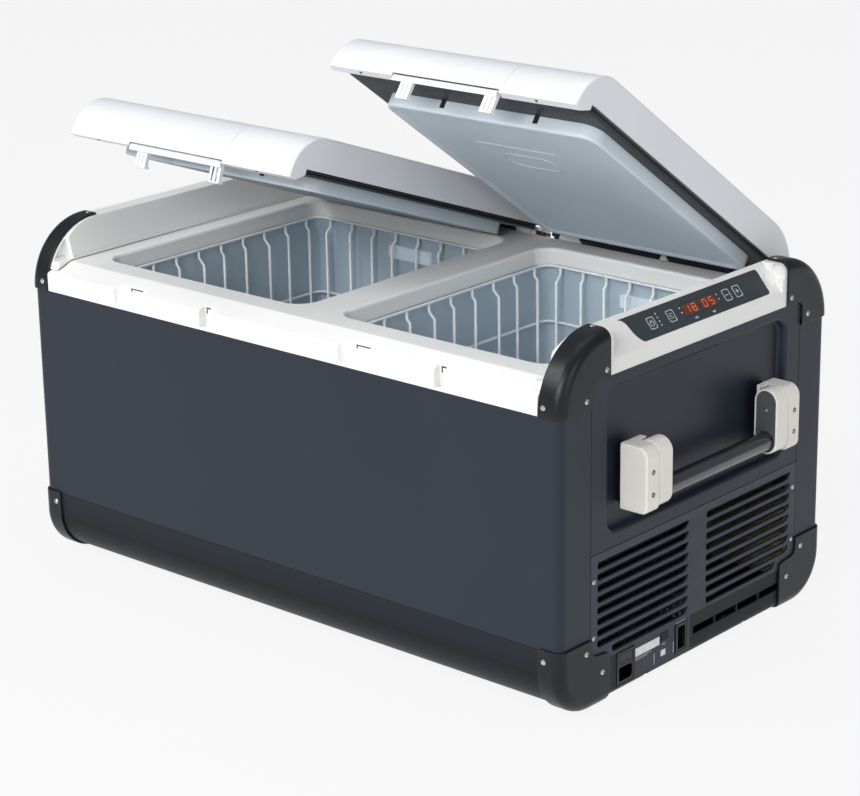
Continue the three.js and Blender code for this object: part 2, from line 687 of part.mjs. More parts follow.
function buildInterior() {
  add('large_basket', basket(LARGE_OPENING, LARGE_FLOOR), BASKET_WHITE);
  add('small_basket', basket(SMALL_OPENING, SMALL_FLOOR), BASKET_WHITE);
  add('large_interior_light', interiorLight(LARGE_OPENING), LIGHT_CLEAR);
  add('small_interior_light', interiorLight(SMALL_OPENING), LIGHT_CLEAR);
}

// ---- cooling machinery in the bay under the small compartment ----
const COMPRESSOR = { x: 205, y: -70 };
// radius and height of the compressor can, from its base over the welded seam to its domed top
const CAN_PROFILE = [
  [0, 22], [52, 22], [60, 30], [62, 60], [66, 62], [66, 68], [62, 70], [60, 110], [48, 132], [22, 142], [0, 144],
];
const FOOT_SPREAD = [55, 46];
const PLATE_MARGIN = 9;
const CONDENSER = { x0: 378, x1: 406, y0: -150, z0: 20, z1: 160, fins: 17, pitch: 13, finThickness: 2 };
const FAN = { x: 352, y: -60, z: 90, half: 60, hole: 55, halfDepth: 12, hub: 20, blades: 7 };
const POWER_MODULE = { x0: 120, x1: 300, y0: 60, y1: 170, z0: 10, z1: 40, fins: 9, pitch: 12.5, finTop: 62 };
const BASE_INSIDE = 7;

function buildCompressor() {
  const { x, y } = COMPRESSOR;
  const [footX, footY] = FOOT_SPREAD;
  const profile = CAN_PROFILE.map(([radius, z]) => new THREE.Vector2(radius, z));
  const can = new THREE.LatheGeometry(profile, 28).rotateX(90 * DEG).translate(x, y, 0);
  const plate = box(x - footX - PLATE_MARGIN, x + footX + PLATE_MARGIN, y - footY - PLATE_MARGIN,
    y + footY + PLATE_MARGIN, 19, 24);
  let compressor = join(solidFrom(can), plate);
  for (const [dx, dy] of [[-footX, -footY], [footX, -footY], [-footX, footY], [footX, footY]]) {
    compressor = join(compressor, alongZ(disc(x + dx, y + dy, 8), BASE_INSIDE, 20, 4));
  }
  add('compressor', compressor, COPPER_BLACK);
}

function buildCondenser() {
  const { x0, x1, y0, z0, z1, fins, pitch, finThickness } = CONDENSER;
  const length = (fins - 1) * pitch;
  let condenser = box(x0 + 10, x1 - 10, y0, y0 + length, z0, z1);
  for (let i = 0; i < fins; i += 1) {
    const y = y0 + i * pitch;
    condenser = join(condenser, box(x0, x1, y - finThickness / 2, y + finThickness / 2, z0, z1));
  }
  add('condenser', condenser, ALUMINIUM);
}

function buildFan() {
  const { x, y, z, half, hole, halfDepth, hub, blades } = FAN;
  const back = x - halfDepth;
  const strutFront = back + 3;
  const reach = hole + 2;
  let frame = alongX(roundedRectangle(y - half, y + half, z - half, z + half, 8), back, x + halfDepth);
  frame = cut(frame, alongX(disc(y, z, hole), back - 1, x + halfDepth + 1, 12));
  const struts = join(box(back, strutFront, y - reach, y + reach, z - 3, z + 3),
    box(back, strutFront, y - 3, y + 3, z - reach, z + reach),
    alongX(disc(y, z, hub - 2), back, strutFront, 6));
  const foot = box(back, x + halfDepth, y - 40, y + 40, BASE_INSIDE, z - half + 1);
  add('fan_frame', join(frame, struts, foot), DARK_PLASTIC);

  const bladeLength = 36;
  let rotor = alongX(disc(y, z, hub), x - 8, x + 11, 8);
  for (let i = 0; i < blades; i += 1) {
    const blade = new THREE.BoxGeometry(2.2, bladeLength, hub).rotateY(35 * DEG);
    blade.translate(0, hub - 3 + bladeLength / 2, 0);
    blade.rotateX((i * 360 * DEG) / blades).translate(x + 1.5, y, z);
    rotor = join(rotor, solidFrom(blade));
  }
  add('fan_rotor', rotor, DARK_PLASTIC);
}

function buildPowerModule() {
  const { x0, x1, y0, y1, z0, z1, fins, pitch, finTop } = POWER_MODULE;
  const finThickness = 2.5;
  const margin = 5;
  let power = box(x0, x1, y0, y1, z0, z1);
  for (let i = 0; i < fins; i += 1) {
    const y = y0 + margin + i * pitch;
    power = join(power, box(x0 + margin, x1 - margin, y, y + finThickness, z1 - 1, finTop));
  }
  add('power_module', power, BOARD_GREY);
}

// ---- lids ----
const LID_TOP = HEIGHT - 0.5;
const LID_FRONT = HALF_DEPTH - 0.5;
const LID_FRONT_RADIUS_Y = 52;
const LID_REAR_CENTRE = HALF_DEPTH - TOP_RADIUS;
const LID_REAR_RADIUS = TOP_RADIUS - 0.5;
const LIP_INNER_Y = 238;
const LIP_Z = 391;
const HOLLOW_BOTTOM = 405;
const GASKET_BOTTOM = 400.5;
const GASKET_TOP = LID_SIDE_BOTTOM - GAP;
const GASKET_REAR = 228;
const FLANGE_TOP = 413;
const PLUG_CLEARANCE = 5;
const PLUG_WALL = 4;
const PLUG_BOTTOM = 384;

// The lid seen from its end: a tight curve at the front and a wide one at the rear.
function lidOutline(inset, bottom) {
  const top = LID_TOP - inset;
  const front = LID_FRONT - inset;
  const arcHeight = LID_TOP - LIP_Z - inset;
  const rearRadius = LID_REAR_RADIUS - inset;
  const rearZ = LID_TOP - LID_REAR_RADIUS;
  const rearAngle = Math.asin((bottom - rearZ) / rearRadius);
  const shape = new THREE.Shape();
  shape.moveTo(LID_REAR_CENTRE + rearRadius * Math.cos(rearAngle), bottom);
  shape.absarc(LID_REAR_CENTRE, rearZ, rearRadius, rearAngle, 90 * DEG, false);
  shape.lineTo(LID_FRONT_RADIUS_Y - LID_FRONT, top);
  shape.absellipse(LID_FRONT_RADIUS_Y - LID_FRONT, LIP_Z, front - LID_FRONT + LID_FRONT_RADIUS_Y, arcHeight,
    90 * DEG, 180 * DEG, false);
  return shape;
}

// The side walls stop above the gasket; the front lip and the rear wall reach lower.
function lidShell(lid) {
  const outline = lidOutline(0, LID_REAR_BOTTOM);
  const rearWall = GASKET_REAR + 4;
  outline.lineTo(-LIP_INNER_Y, LID_REAR_BOTTOM);
  outline.lineTo(-LIP_INNER_Y, LID_SIDE_BOTTOM);
  outline.lineTo(rearWall, LID_SIDE_BOTTOM);
  outline.lineTo(rearWall, LID_REAR_BOTTOM);
  const outer = alongX(outline, lid.x0, lid.x1, 5);
  const lipInside = polygon([
    [-FAR, 0], [-FAR, LIP_Z + LID_WALL], [-LID_FRONT, LIP_Z + LID_WALL], [-LIP_INNER_Y, HOLLOW_BOTTOM],
    [0, HOLLOW_BOTTOM], [0, 0],
  ]);
  const room = alongX(lidOutline(LID_WALL, HOLLOW_BOTTOM), lid.x0 + LID_WALL, lid.x1 - LID_WALL, 5);
  const hollow = cut(room, alongX(lipInside, -FAR, FAR));
  const latchLeft = lid.latch[0] - 1;
  const latchRight = lid.latch[1] + 1;
  const latchMouth = box(latchLeft, latchRight, -FAR, -LATCH_ROOM_FRONT + 1, LIP_Z - 5, LATCH_TOP - 0.9);
  const latchRoom = box(latchLeft, latchRight, -LATCH_ROOM_FRONT, -LATCH_REAR + 3, LIP_Z - 5, LATCH_TOP + 2);
  let shell = cut(outer, hollow, latchMouth, latchRoom);
  for (const [x0, x1] of knuckleSpans(lid)) {
    const knuckle = alongX(
      roundedRectangle(HINGE_Y - 6, HINGE_Y + 5.5, HINGE_Z - 6, LID_REAR_BOTTOM + 4, 5), x0, x1);
    shell = join(shell, knuckle);
  }
  for (const [x0, x1] of supportSpans(lid)) {
    const clearance = alongX(disc(HINGE_Y, HINGE_Z, 11), x0 - 0.5, x1 + 0.5, 6);
    shell = cut(shell, clearance);
  }
  const bore = alongX(disc(HINGE_Y, HINGE_Z, HINGE_PIN_RADIUS + GAP), lid.x0 - 1, lid.x1 + 1, 6);
  return cut(shell, bore);
}

// The plug is a moulded pan: a block that sinks into the opening, hollow from above, with a wide flange.
function lidPlug(lid) {
  const lower = alongZ(openingOutline(lid.plug, -PLUG_CLEARANCE), PLUG_BOTTOM, FLANGE_TOP - 1, 4);
  const x0 = lid.x0 + LID_WALL + GAP;
  const x1 = lid.x1 - LID_WALL - GAP;
  const flange = box(x0, x1, -LIP_INNER_Y + GAP, GASKET_REAR, LID_SIDE_BOTTOM, FLANGE_TOP);
  const hollow = alongZ(openingOutline(lid.plug, -PLUG_CLEARANCE - PLUG_WALL), PLUG_BOTTOM + PLUG_WALL, FAR, 3);
  return cut(join(lower, flange), hollow);
}

function lidGasket(lid) {
  const frame = box(lid.x0 + 1, lid.x1 - 1, -LIP_INNER_Y + GAP, GASKET_REAR, GASKET_BOTTOM, GASKET_TOP);
  const window = alongZ(openingOutline(lid.plug, GAP - PLUG_CLEARANCE), GASKET_BOTTOM - 1, GASKET_TOP + 1, 4);
  return cut(frame, window);
}

// Latch lever: a bar under the lid's front edge with two hooks that hang into the rim's pockets.
const LATCH_FRONT = 264.2;
const LATCH_REAR = 257;
const LATCH_TOP = 398.5;
const LATCH_BOTTOM = 389.6;
const LATCH_ROOM_FRONT = 262;
const HOOK_FRONT = 262.3;
const HOOK_BOTTOM = 370;

function latchLever([x0, x1]) {
  const bar = polygon([
    [-LATCH_FRONT, LATCH_BOTTOM], [-LATCH_FRONT, LATCH_TOP - 2.5], [-LATCH_FRONT + 4, LATCH_TOP],
    [-LATCH_REAR, LATCH_TOP], [-LATCH_REAR, LATCH_BOTTOM + 3.6], [-LATCH_REAR - 3.5, LATCH_BOTTOM + 1],
  ]);
  let lever = alongX(bar, x0, x1);
  for (const [h0, h1] of hookSpans([x0, x1])) {
    const hook = polygon([[-HOOK_FRONT, LATCH_TOP - 4], [-HOOK_FRONT, HOOK_BOTTOM],
      [-LATCH_REAR + 3.5, HOOK_BOTTOM + 0.5], [-LATCH_REAR, HOOK_BOTTOM + 5], [-LATCH_REAR, LATCH_TOP - 4]]);
    lever = join(lever, alongX(hook, h0, h1));
  }
  return lever;
}

function buildLid(side, lid) {
  const pivot = new THREE.Vector3(0, HINGE_Y, HINGE_Z);
  const opened = turnedGroup(pivot, new THREE.Euler(-lid.open * DEG, 0, 0));
  add(`${side}_lid_shell`, lidShell(lid), LID_WHITE, opened);
  add(`${side}_lid_plug`, lidPlug(lid), LID_GREY, opened);
  add(`${side}_lid_gasket`, lidGasket(lid), GASKET_BLACK, opened);
  add(`${side}_latch_lever`, latchLever(lid.latch), LID_WHITE, opened);
  const pin = alongX(disc(HINGE_Y, HINGE_Z, HINGE_PIN_RADIUS), lid.x0 + 4, lid.x1 - 4, 6);
  add(`${side}_hinge_pin`, pin, STEEL);
}

// ---- carrying handles: two fixed brackets, two swinging arms and a tube ----
const ARM_BACK = ARM_X - ARM_RADIUS;
const BACK_PLATE_Y = 116;
const SOCKET_REACH = 12;

// The bracket stands on the end panel; a narrow foot reaches the floor of the sunk pan, and a thin
// plate runs on behind the arm.
function handleBracket() {
  const topCorner = 14;
  const bottomCorner = 9;
  const outline = new THREE.Shape();
  outline.moveTo(BRACKET_BOTTOM, PANEL_FACE);
  outline.lineTo(BRACKET_BOTTOM, HANDLE_FRONT - bottomCorner);
  outline.absarc(BRACKET_BOTTOM + bottomCorner, HANDLE_FRONT - bottomCorner, bottomCorner,
    180 * DEG, 90 * DEG, true);
  outline.lineTo(BRACKET_TOP - topCorner, HANDLE_FRONT);
  outline.absarc(BRACKET_TOP - topCorner, HANDLE_FRONT - topCorner, topCorner, 90 * DEG, 0, true);
  outline.lineTo(BRACKET_TOP, PANEL_FACE);
  const block = alongY(outline, BLOCK_SEAM_Y + 0.5, BRACKET_OUTER_Y, 4);
  const foot = box(RECESS_FLOOR + GAP, PANEL_FACE + 1, BLOCK_SEAM_Y + 3, BRACKET_OUTER_Y - 8,
    BRACKET_BOTTOM + 5, BRACKET_TOP - 5);
  const plate = box(PANEL_FACE, ARM_BACK - 0.4, BACK_PLATE_Y, BLOCK_SEAM_Y + 1, BRACKET_BOTTOM, BRACKET_TOP);
  return join(block, foot, plate);
}

// The arm is a bar with two round ends; the upper one turns about its own centre.
function handleArm() {
  const outline = new THREE.Shape();
  outline.moveTo(ARM_TOP_Z, ARM_BACK);
  outline.lineTo(ARM_BOTTOM_Z, ARM_BACK);
  outline.absarc(ARM_BOTTOM_Z, ARM_X, ARM_RADIUS, 270 * DEG, 90 * DEG, true);
  outline.lineTo(ARM_TOP_Z, ARM_X + ARM_RADIUS);
  outline.absarc(ARM_TOP_Z, ARM_X, ARM_RADIUS, 90 * DEG, -90 * DEG, true);
  const socket = alongY(disc(ARM_BOTTOM_Z, ARM_X, TUBE_RADIUS + GAP), ARM_INNER_Y - 1,
    ARM_INNER_Y + SOCKET_REACH, 10);
  return cut(alongY(outline, ARM_INNER_Y, BLOCK_SEAM_Y, 5), socket);
}

function buildHandle(side, flipX) {
  for (const [place, flipY] of [['rear', false], ['front', true]]) {
    add(`${side}_handle_bracket_${place}`, mirrored(handleBracket(), flipX, flipY), HANDLE_WHITE);
    add(`${side}_handle_arm_${place}`, mirrored(handleArm(), flipX, flipY), HANDLE_WHITE);
  }
  const reach = ARM_INNER_Y + SOCKET_REACH - 0.5;
  const tube = alongY(disc(ARM_BOTTOM_Z, ARM_X, TUBE_RADIUS), -reach, reach, 10);
  add(`${side}_handle_tube`, mirrored(tube, flipX, false), TUBE_BLACK);
}

// ---- assembly ----
buildCasings();
add('right_end_panel', endPanel(GRILLE_TOP + GAP), COATED_SHEET);
add('left_end_panel', mirrored(endPanel(TRAY_TOP + GAP), true, false), COATED_SHEET);
buildGrille();
buildAcInlet();
buildDcSocket();
buildBaseTray();
buildTopRim();
buildEndHousings();
buildFoamedBody();
buildInterior();
buildCompressor();
buildCondenser();
buildFan();
buildPowerModule();
buildLid('left', LEFT_LID);
buildLid('right', RIGHT_LID);
buildHandle('right', false);
buildHandle('left', true);

export default fridge;
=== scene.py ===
"""The looks of a dual-compartment compressor cooler fridge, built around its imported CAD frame.

Shapes are drawn in millimetres in the frame's axes (+X right along the front, +Y to the rear, +Z up)
and become metres when a mesh is made.
"""

import math

import bmesh
import bpy
from mathutils import Matrix, Vector


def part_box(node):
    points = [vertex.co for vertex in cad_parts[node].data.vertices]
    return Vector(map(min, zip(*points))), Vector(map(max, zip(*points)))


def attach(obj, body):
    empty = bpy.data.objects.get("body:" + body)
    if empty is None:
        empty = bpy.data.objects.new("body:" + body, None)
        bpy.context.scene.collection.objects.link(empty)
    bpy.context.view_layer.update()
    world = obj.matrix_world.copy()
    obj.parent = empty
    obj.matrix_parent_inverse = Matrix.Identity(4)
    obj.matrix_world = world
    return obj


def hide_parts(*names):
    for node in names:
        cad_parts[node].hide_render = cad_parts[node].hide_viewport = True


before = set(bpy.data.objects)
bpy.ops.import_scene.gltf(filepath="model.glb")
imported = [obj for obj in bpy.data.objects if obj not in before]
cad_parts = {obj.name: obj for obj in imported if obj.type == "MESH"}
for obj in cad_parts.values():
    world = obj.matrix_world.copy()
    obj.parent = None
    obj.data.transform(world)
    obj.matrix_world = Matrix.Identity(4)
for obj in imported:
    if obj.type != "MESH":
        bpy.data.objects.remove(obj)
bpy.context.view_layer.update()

MM = 0.001
DEG = math.pi / 180

# a place well beyond the fridge, for cutters that run right through
FAR = 700


# ---- measures, from the frame ----
def corners(node):
    """Lowest and highest corner of a CAD node, in millimetres."""
    low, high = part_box(node)
    return low / MM, high / MM


cap_low, cap_high = corners("top_cap_front_right")
_, guard_high = corners("base_guard_front_right")
_, panel_high = corners("right_end_panel")
_, rim_high = corners("top_rim")

HALF_LENGTH = cap_high.x
HALF_DEPTH = -cap_low.y
HEIGHT = cap_high.z
CORNER_INNER_X = cap_low.x
CAP_INNER_Y = -cap_high.y
RIM_BOTTOM = cap_low.z
GUARD_TOP = guard_high.z
GUARD_INNER_Y = -guard_high.y
PANEL_FACE = panel_high.x
PANEL_TOP = panel_high.z
END_SEAM_Y = panel_high.y + 0.3
DECK = 400
RIM_FRONT = rim_high.y
TRAY_TOP = corners("base_tray")[1].z
GRILLE_BOTTOM = 54
GAP = 0.3

# compartments: the ends of each opening along X and its floor, then the half depth and corner radius
OPENINGS = {"large": (-363, -15, 50), "small": (44, 370, 224)}
OPENING_HALF_DEPTH = 198
OPENING_RADIUS = 26

# lids: ends along X, the opening angle at rest and the ends of the latch bar
HINGE_Y = 250
HINGE_Z = 397
LIDS = {
    "left": {"x0": -376, "x1": 8, "angle": 19.8, "latch": (-267, -106), "opening": "large"},
    "right": {"x0": 16, "x1": 384, "angle": 35.3, "latch": (116, 273), "opening": "small"},
}

# carrying handles
ARM_RADIUS = 16.5
ARM_BOTTOM_Z = 247
ARM_TOP_Z = 295.5
TUBE_RADIUS = 11.7
ARM_INNER_Y = 104
ARM_SCREW_Z = 285.5
BLOCK_SEAM_Y = 128.5

# radii and walls of the moulded and folded parts
TOP_RADIUS = 86
BASE_RADIUS = 58
EDGE_RADIUS = 14
CASING_INSET = HALF_LENGTH - PANEL_FACE
GUARD_WALL = 2.7


# ---- outlines: lists of points on a plane ----
def arc(a, b, radius, start, end, steps=10, squash=1.0):
    """Points on a circle, or on an ellipse whose second half axis is radius times squash."""
    turn = [start + (end - start) * i / steps for i in range(steps + 1)]
    return [(a + radius * math.cos(t * DEG), b + radius * squash * math.sin(t * DEG)) for t in turn]


def circle(a, b, radius, steps):
    return arc(a, b, radius, 0, 360 - 360 / steps, steps - 1)


def rounded(a0, a1, b0, b1, radius, steps=6):
    return (arc(a1 - radius, b0 + radius, radius, -90, 0, steps)
            + arc(a1 - radius, b1 - radius, radius, 0, 90, steps)
            + arc(a0 + radius, b1 - radius, radius, 90, 180, steps)
            + arc(a0 + radius, b0 + radius, radius, 180, 270, steps))


def rectangle(a0, a1, b0, b1):
    return [(a0, b0), (a1, b0), (a1, b1), (a0, b1)]


def bezier(p0, p1, p2, p3, steps=8):
    points = []
    for i in range(steps + 1):
        t = i / steps
        s = 1 - t
        weights = (s ** 3, 3 * s * s * t, 3 * s * t * t, t ** 3)
        points.append(tuple(sum(w * p[k] for w, p in zip(weights, (p0, p1, p2, p3))) for k in (0, 1)))
    return points


# ---- solids: mesh objects in metres ----
AXES = {
    "X": lambda a, b, c: (c, a, b),
    "Y": lambda a, b, c: (a, c, b),
    "Z": lambda a, b, c: (a, b, c),
}


def placed(name, data):
    """A new object in the scene."""
    piece = bpy.data.objects.new(name, data)
    bpy.context.scene.collection.objects.link(piece)
    return piece


def piece_from(name, bm):
    bmesh.ops.recalc_face_normals(bm, faces=bm.faces)
    mesh = bpy.data.meshes.new(name)
    bm.to_mesh(mesh)
    bm.free()
    return placed(name, mesh)


def loft(rings):
    """A closed solid through rings of points in millimetres, capped at both ends."""
    bm = bmesh.new()
    made = [[bm.verts.new(Vector(p) * MM) for p in ring] for ring in rings]
    for one, two in zip(made, made[1:]):
        for i, start in enumerate(one):
            j = (i + 1) % len(one)
            bm.faces.new((start, one[j], two[j], two[i]))
    bm.faces.new(made[0])
    bm.faces.new(made[-1])
    return piece_from("solid", bm)


def prism(outline, axis, start, end):
    """An outline pushed along an axis: (y, z) along X, (x, z) along Y, (x, y) along Z."""
    place = AXES[axis]
    return loft([[place(a, b, c) for a, b in outline] for c in (start, end)])


def stacked(outline_of, axis, profile):
    """A solid through one outline at several heights; the profile is (height, grow) in order."""
    place = AXES[axis]
    return loft([[place(a, b, height) for a, b in outline_of(grow)] for height, grow in profile])


def eased(start, end, radius, steps=3):
    """A profile from start to end whose two rims are rounded inward by the radius."""
    turns = [90 * i / steps * DEG for i in range(steps + 1)]
    first = [(start + radius * (1 - math.sin(t)), -radius * (1 - math.cos(t))) for t in reversed(turns)]
    last = [(end - radius * (1 - math.sin(t)), -radius * (1 - math.cos(t))) for t in turns]
    return first + last


def box(x0, x1, y0, y1, z0, z1):
    return prism(rectangle(x0, x1, y0, y1), "Z", z0, z1)


def lathe(profile, origin, direction, steps=24):
    """A solid turned round a direction; the profile is (radius, height) from the axis back to it."""
    turn = Vector(direction).to_track_quat("Z", "Y").to_matrix()
    bm = bmesh.new()
    rings = []
    for radius, height in profile:
        spots = [(a, b, height) for a, b in circle(0, 0, radius, steps)] if radius else [(0, 0, height)]
        rings.append([bm.verts.new((Vector(origin) + turn @ Vector(spot)) * MM) for spot in spots])
    for one, two in zip(rings, rings[1:]):
        for i in range(steps):
            j = (i + 1) % steps
            around = [ring[k % len(ring)] for ring, k in ((one, i), (one, j), (two, j), (two, i))]
            bm.faces.new(dict.fromkeys(around))
    return piece_from("solid", bm)


def applied(piece):
    """Bakes a piece's modifiers into its mesh."""
    evaluated = piece.evaluated_get(bpy.context.evaluated_depsgraph_get())
    mesh = bpy.data.meshes.new_from_object(evaluated)
    piece.modifiers.clear()
    old = piece.data
    piece.data = mesh
    bpy.data.meshes.remove(old)
    return piece


def combined(operation, solid, tools):
    for tool in tools:
        modifier = solid.modifiers.new("join or cut", "BOOLEAN")
        modifier.operation = operation
        modifier.solver = "MANIFOLD"
        modifier.object = tool
    applied(solid)
    for tool in tools:
        bpy.data.objects.remove(tool)
    return solid


def cut(solid, *tools):
    return combined("DIFFERENCE", solid, tools)


def join(solid, *others):
    return combined("UNION", solid, others)


def meet(solid, *others):
    return combined("INTERSECT", solid, others)


def mirrored(piece, flip_x=False, flip_y=False):
    """Mirrors a piece in place, left to right or front to rear."""
    piece.data.transform(Matrix.Diagonal((-1 if flip_x else 1, -1 if flip_y else 1, 1, 1)))
    if flip_x != flip_y:
        piece.data.flip_normals()
    return piece


def copy_of(piece, flip_x=False, flip_y=False):
    return mirrored(placed("copy", piece.data.copy()), flip_x, flip_y)


def scattered(source, places):
    """One piece made of copies of the source at several places; the source goes."""
    bm = bmesh.new()
    for place in places:
        mesh = source.data.copy()
        mesh.transform(place)
        if place.determinant() < 0:
            mesh.flip_normals()
        bm.from_mesh(mesh)
        bpy.data.meshes.remove(mesh)
    bpy.data.objects.remove(source)
    return piece_from("scattered", bm)


def merged(*pieces):
    """Several pieces as one mesh of separate shells."""
    bm = bmesh.new()
    for piece in pieces:
        bm.from_mesh(piece.data)
    for piece in pieces[1:]:
        bpy.data.objects.remove(piece)
    bm.to_mesh(pieces[0].data)
    bm.free()
    return pieces[0]


def facing(spot, outward, up=(0, 0, 1)):
    """The place whose Z axis looks outward, at a spot in millimetres."""
    z = Vector(outward).normalized()
    x = Vector(up).cross(z).normalized()
    place = Matrix((x, z.cross(x), z)).transposed().to_4x4()
    place.translation = Vector(spot) * MM
    return place


def opened(piece, side):
    """Turns a piece drawn on a closed lid to the lid's place at rest."""
    pivot = Vector((0, HINGE_Y, HINGE_Z)) * MM
    turn = Matrix.Rotation(-LIDS[side]["angle"] * DEG, 4, "X")
    piece.data.transform(Matrix.Translation(pivot) @ turn @ Matrix.Translation(-pivot))
    return piece


def wires(name, paths, thickness):
    """A curve piece of round wires; each path is (points in millimetres, closed)."""
    curve = bpy.data.curves.new(name, "CURVE")
    curve.dimensions = "3D"
    curve.bevel_depth = thickness / 2 * MM
    curve.bevel_resolution = 2
    curve.use_fill_caps = True
    for points, closed in paths:
        spline = curve.splines.new("POLY")
        spline.points.add(len(points) - 1)
        for point, spot in zip(spline.points, points):
            point.co = (*(c * MM for c in spot), 1)
        spline.use_cyclic_u = closed
    return placed(name, curve)


# vertices nearer than this are one, in millimetres
MERGE = 0.02


def tidy(piece, pierced=False):
    """Merges the slivers that cuts leave and, unless the faces are full of holes, joins coplanar faces."""
    bm = bmesh.new()
    bm.from_mesh(piece.data)
    bmesh.ops.triangulate(bm, faces=bm.faces)
    bmesh.ops.remove_doubles(bm, verts=bm.verts, dist=MERGE * MM)
    if not pierced:
        bmesh.ops.dissolve_limit(bm, angle_limit=0.15 * DEG, verts=bm.verts, edges=bm.edges)
    bm.to_mesh(piece.data)
    bm.free()
    return piece


def soften(piece, bevel, segments=2, angle=28):
    """Rounds the sharp edges and lets the large faces rule the shading."""
    for polygon in piece.data.polygons:
        polygon.use_smooth = True
    if not bevel:
        piece.data.set_sharp_from_angle(angle=angle * DEG)
    else:
        modifier = piece.modifiers.new("edge radius", "BEVEL")
        modifier.width = bevel * MM
        modifier.segments = segments
        modifier.limit_method = "ANGLE"
        modifier.angle_limit = angle * DEG
        modifier.use_clamp_overlap = False
        modifier.miter_outer = "MITER_ARC"
    normals = piece.modifiers.new("face weighted shading", "WEIGHTED_NORMAL")
    normals.keep_sharp = True
    normals.weight = 60
    return piece


def finished(piece, name, surface, stands_for=(), body="root", bevel=0.6, segments=2, angle=28,
             pierced=False, slot=None):
    """Names a solid, gives it its surface, edges and body, and hides the CAD nodes it stands for."""
    piece.name = name
    piece.data.name = name
    piece.data.materials.clear()
    piece.data.materials.append(surface)
    tidy(piece, pierced)
    soften(piece, bevel, segments, angle)
    slot = slot or SLOT_OF[surface]
    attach(piece, body)
    if stands_for:
        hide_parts(*stands_for)
    return piece


def dressed(node, surface):
    """A CAD node that stays: it gets its material, welded facets and rounded edges."""
    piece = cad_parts[node]
    piece.data.materials.clear()
    piece.data.materials.append(surface)
    if "custom_normal" in piece.data.attributes:
        piece.data.attributes.remove(piece.data.attributes["custom_normal"])
    weld = piece.modifiers.new("weld facets", "WELD")
    weld.merge_threshold = MERGE * MM
    return soften(piece, 0.4)


# ---- materials ----
def tone(code):
    """A linear colour from an sRGB hex code."""
    shares = [int(code[i:i + 2], 16) / 255 for i in (0, 2, 4)]
    return [s / 12.92 if s <= 0.04045 else ((s + 0.055) / 1.055) ** 2.4 for s in shares] + [1]


def fill(node, **values):
    """Gives a node's inputs plain values or links them to outputs; a name's underscores are spaces."""
    for name, value in values.items():
        socket = node.inputs[name.replace("_", " ")]
        if isinstance(value, bpy.types.NodeSocket):
            node.id_data.links.new(value, socket)
        else:
            socket.default_value = value


class Nodes:
    """A short way to write a material's node tree."""

    def __init__(self, name):
        self.material = bpy.data.materials.new(name)
        self.material.use_nodes = True
        self.tree = self.material.node_tree
        self.shader = next(n for n in self.tree.nodes if n.type == "BSDF_PRINCIPLED")
        self.place = self.tree.nodes.new("ShaderNodeTexCoord").outputs["Object"]

    def add(self, kind, **values):
        node = self.tree.nodes.new(f"ShaderNode{kind}")
        fill(node, **values)
        return node

    def noise(self, per_metre, detail=2.0, roughness=0.5, stretch=(1, 1, 1)):
        mapping = self.add("Mapping", Scale=stretch, Vector=self.place)
        noise = self.add("TexNoise", Scale=per_metre, Detail=detail, Roughness=roughness,
                         Vector=mapping.outputs["Vector"])
        return noise.outputs["Fac"]

    def ramp(self, factor, colours, spread=(0.3, 0.7)):
        ramp = self.add("ValToRGB", Fac=factor)
        for end, colour, position in zip(ramp.color_ramp.elements, colours, spread):
            end.color = colour
            end.position = position
        return ramp.outputs["Color"]

    def spread(self, factor, low, high):
        scale = self.add("MapRange", Value=factor, From_Min=0.25, From_Max=0.75, To_Min=low, To_Max=high)
        return scale.outputs["Result"]

    def bump(self, height, depth, strength):
        bump = self.add("Bump", Strength=strength, Distance=depth * MM, Height=height)
        fill(self.shader, Normal=bump.outputs["Normal"])

    def painted_edge_highlight(self, colour, highlight_colour, sharpness=(0.52, 0.62)):
        """Blends in a lighter colour where the surface turns sharply outward: a painted highlight along the
        edges.
        """
        shape = self.tree.nodes.new("ShaderNodeNewGeometry")
        edges = self.ramp(shape.outputs["Pointiness"], ([0, 0, 0, 1], [1, 1, 1, 1]), sharpness)
        mix = self.tree.nodes.new("ShaderNodeMix")
        mix.data_type = "RGBA"
        fill(mix, Factor=edges, A=colour, B=highlight_colour)
        return mix.outputs["Result"]


# the slot of each surface's pieces, filled in by surface()
SLOT_OF = {}


def surface(name, slot, light, dark, gloss, grain=900, depth=0.02, mottle=7, metallic=0.0, coat=0.0,
            edge=None, streaks=(1, 1, 1), glow=None, shine=0.5):
    """A moulded, coated or rubbed surface, with the slot of its pieces or None for CAD nodes that stay.

    Its colour drifts between two shades, its roughness between the two values of gloss, and a fine
    grain of the given number of bumps per metre and depth in millimetres covers it. An edge colour, when
    given, is a painted highlight: a lighter colour blended in along the sharp outward edges.
    """
    made = Nodes(name)
    colour = made.ramp(made.noise(mottle, 3.0, 0.6), (tone(dark), tone(light)))
    # a painted highlight: a lighter colour along the sharp outward edges
    if edge:
        colour = made.painted_edge_highlight(colour, tone(edge))
    roughness = made.spread(made.noise(mottle * 6, 4.0, 0.65, streaks), *gloss)
    made.bump(made.noise(grain, 2.0, 0.5, streaks), depth, 0.6)
    fill(made.shader, Base_Color=colour, Roughness=roughness, Metallic=metallic, Coat_Weight=coat,
         Specular_IOR_Level=shine)
    if glow:
        fill(made.shader, Emission_Color=tone(glow[0]), Emission_Strength=glow[1])
    SLOT_OF[made.material] = slot
    return made.material


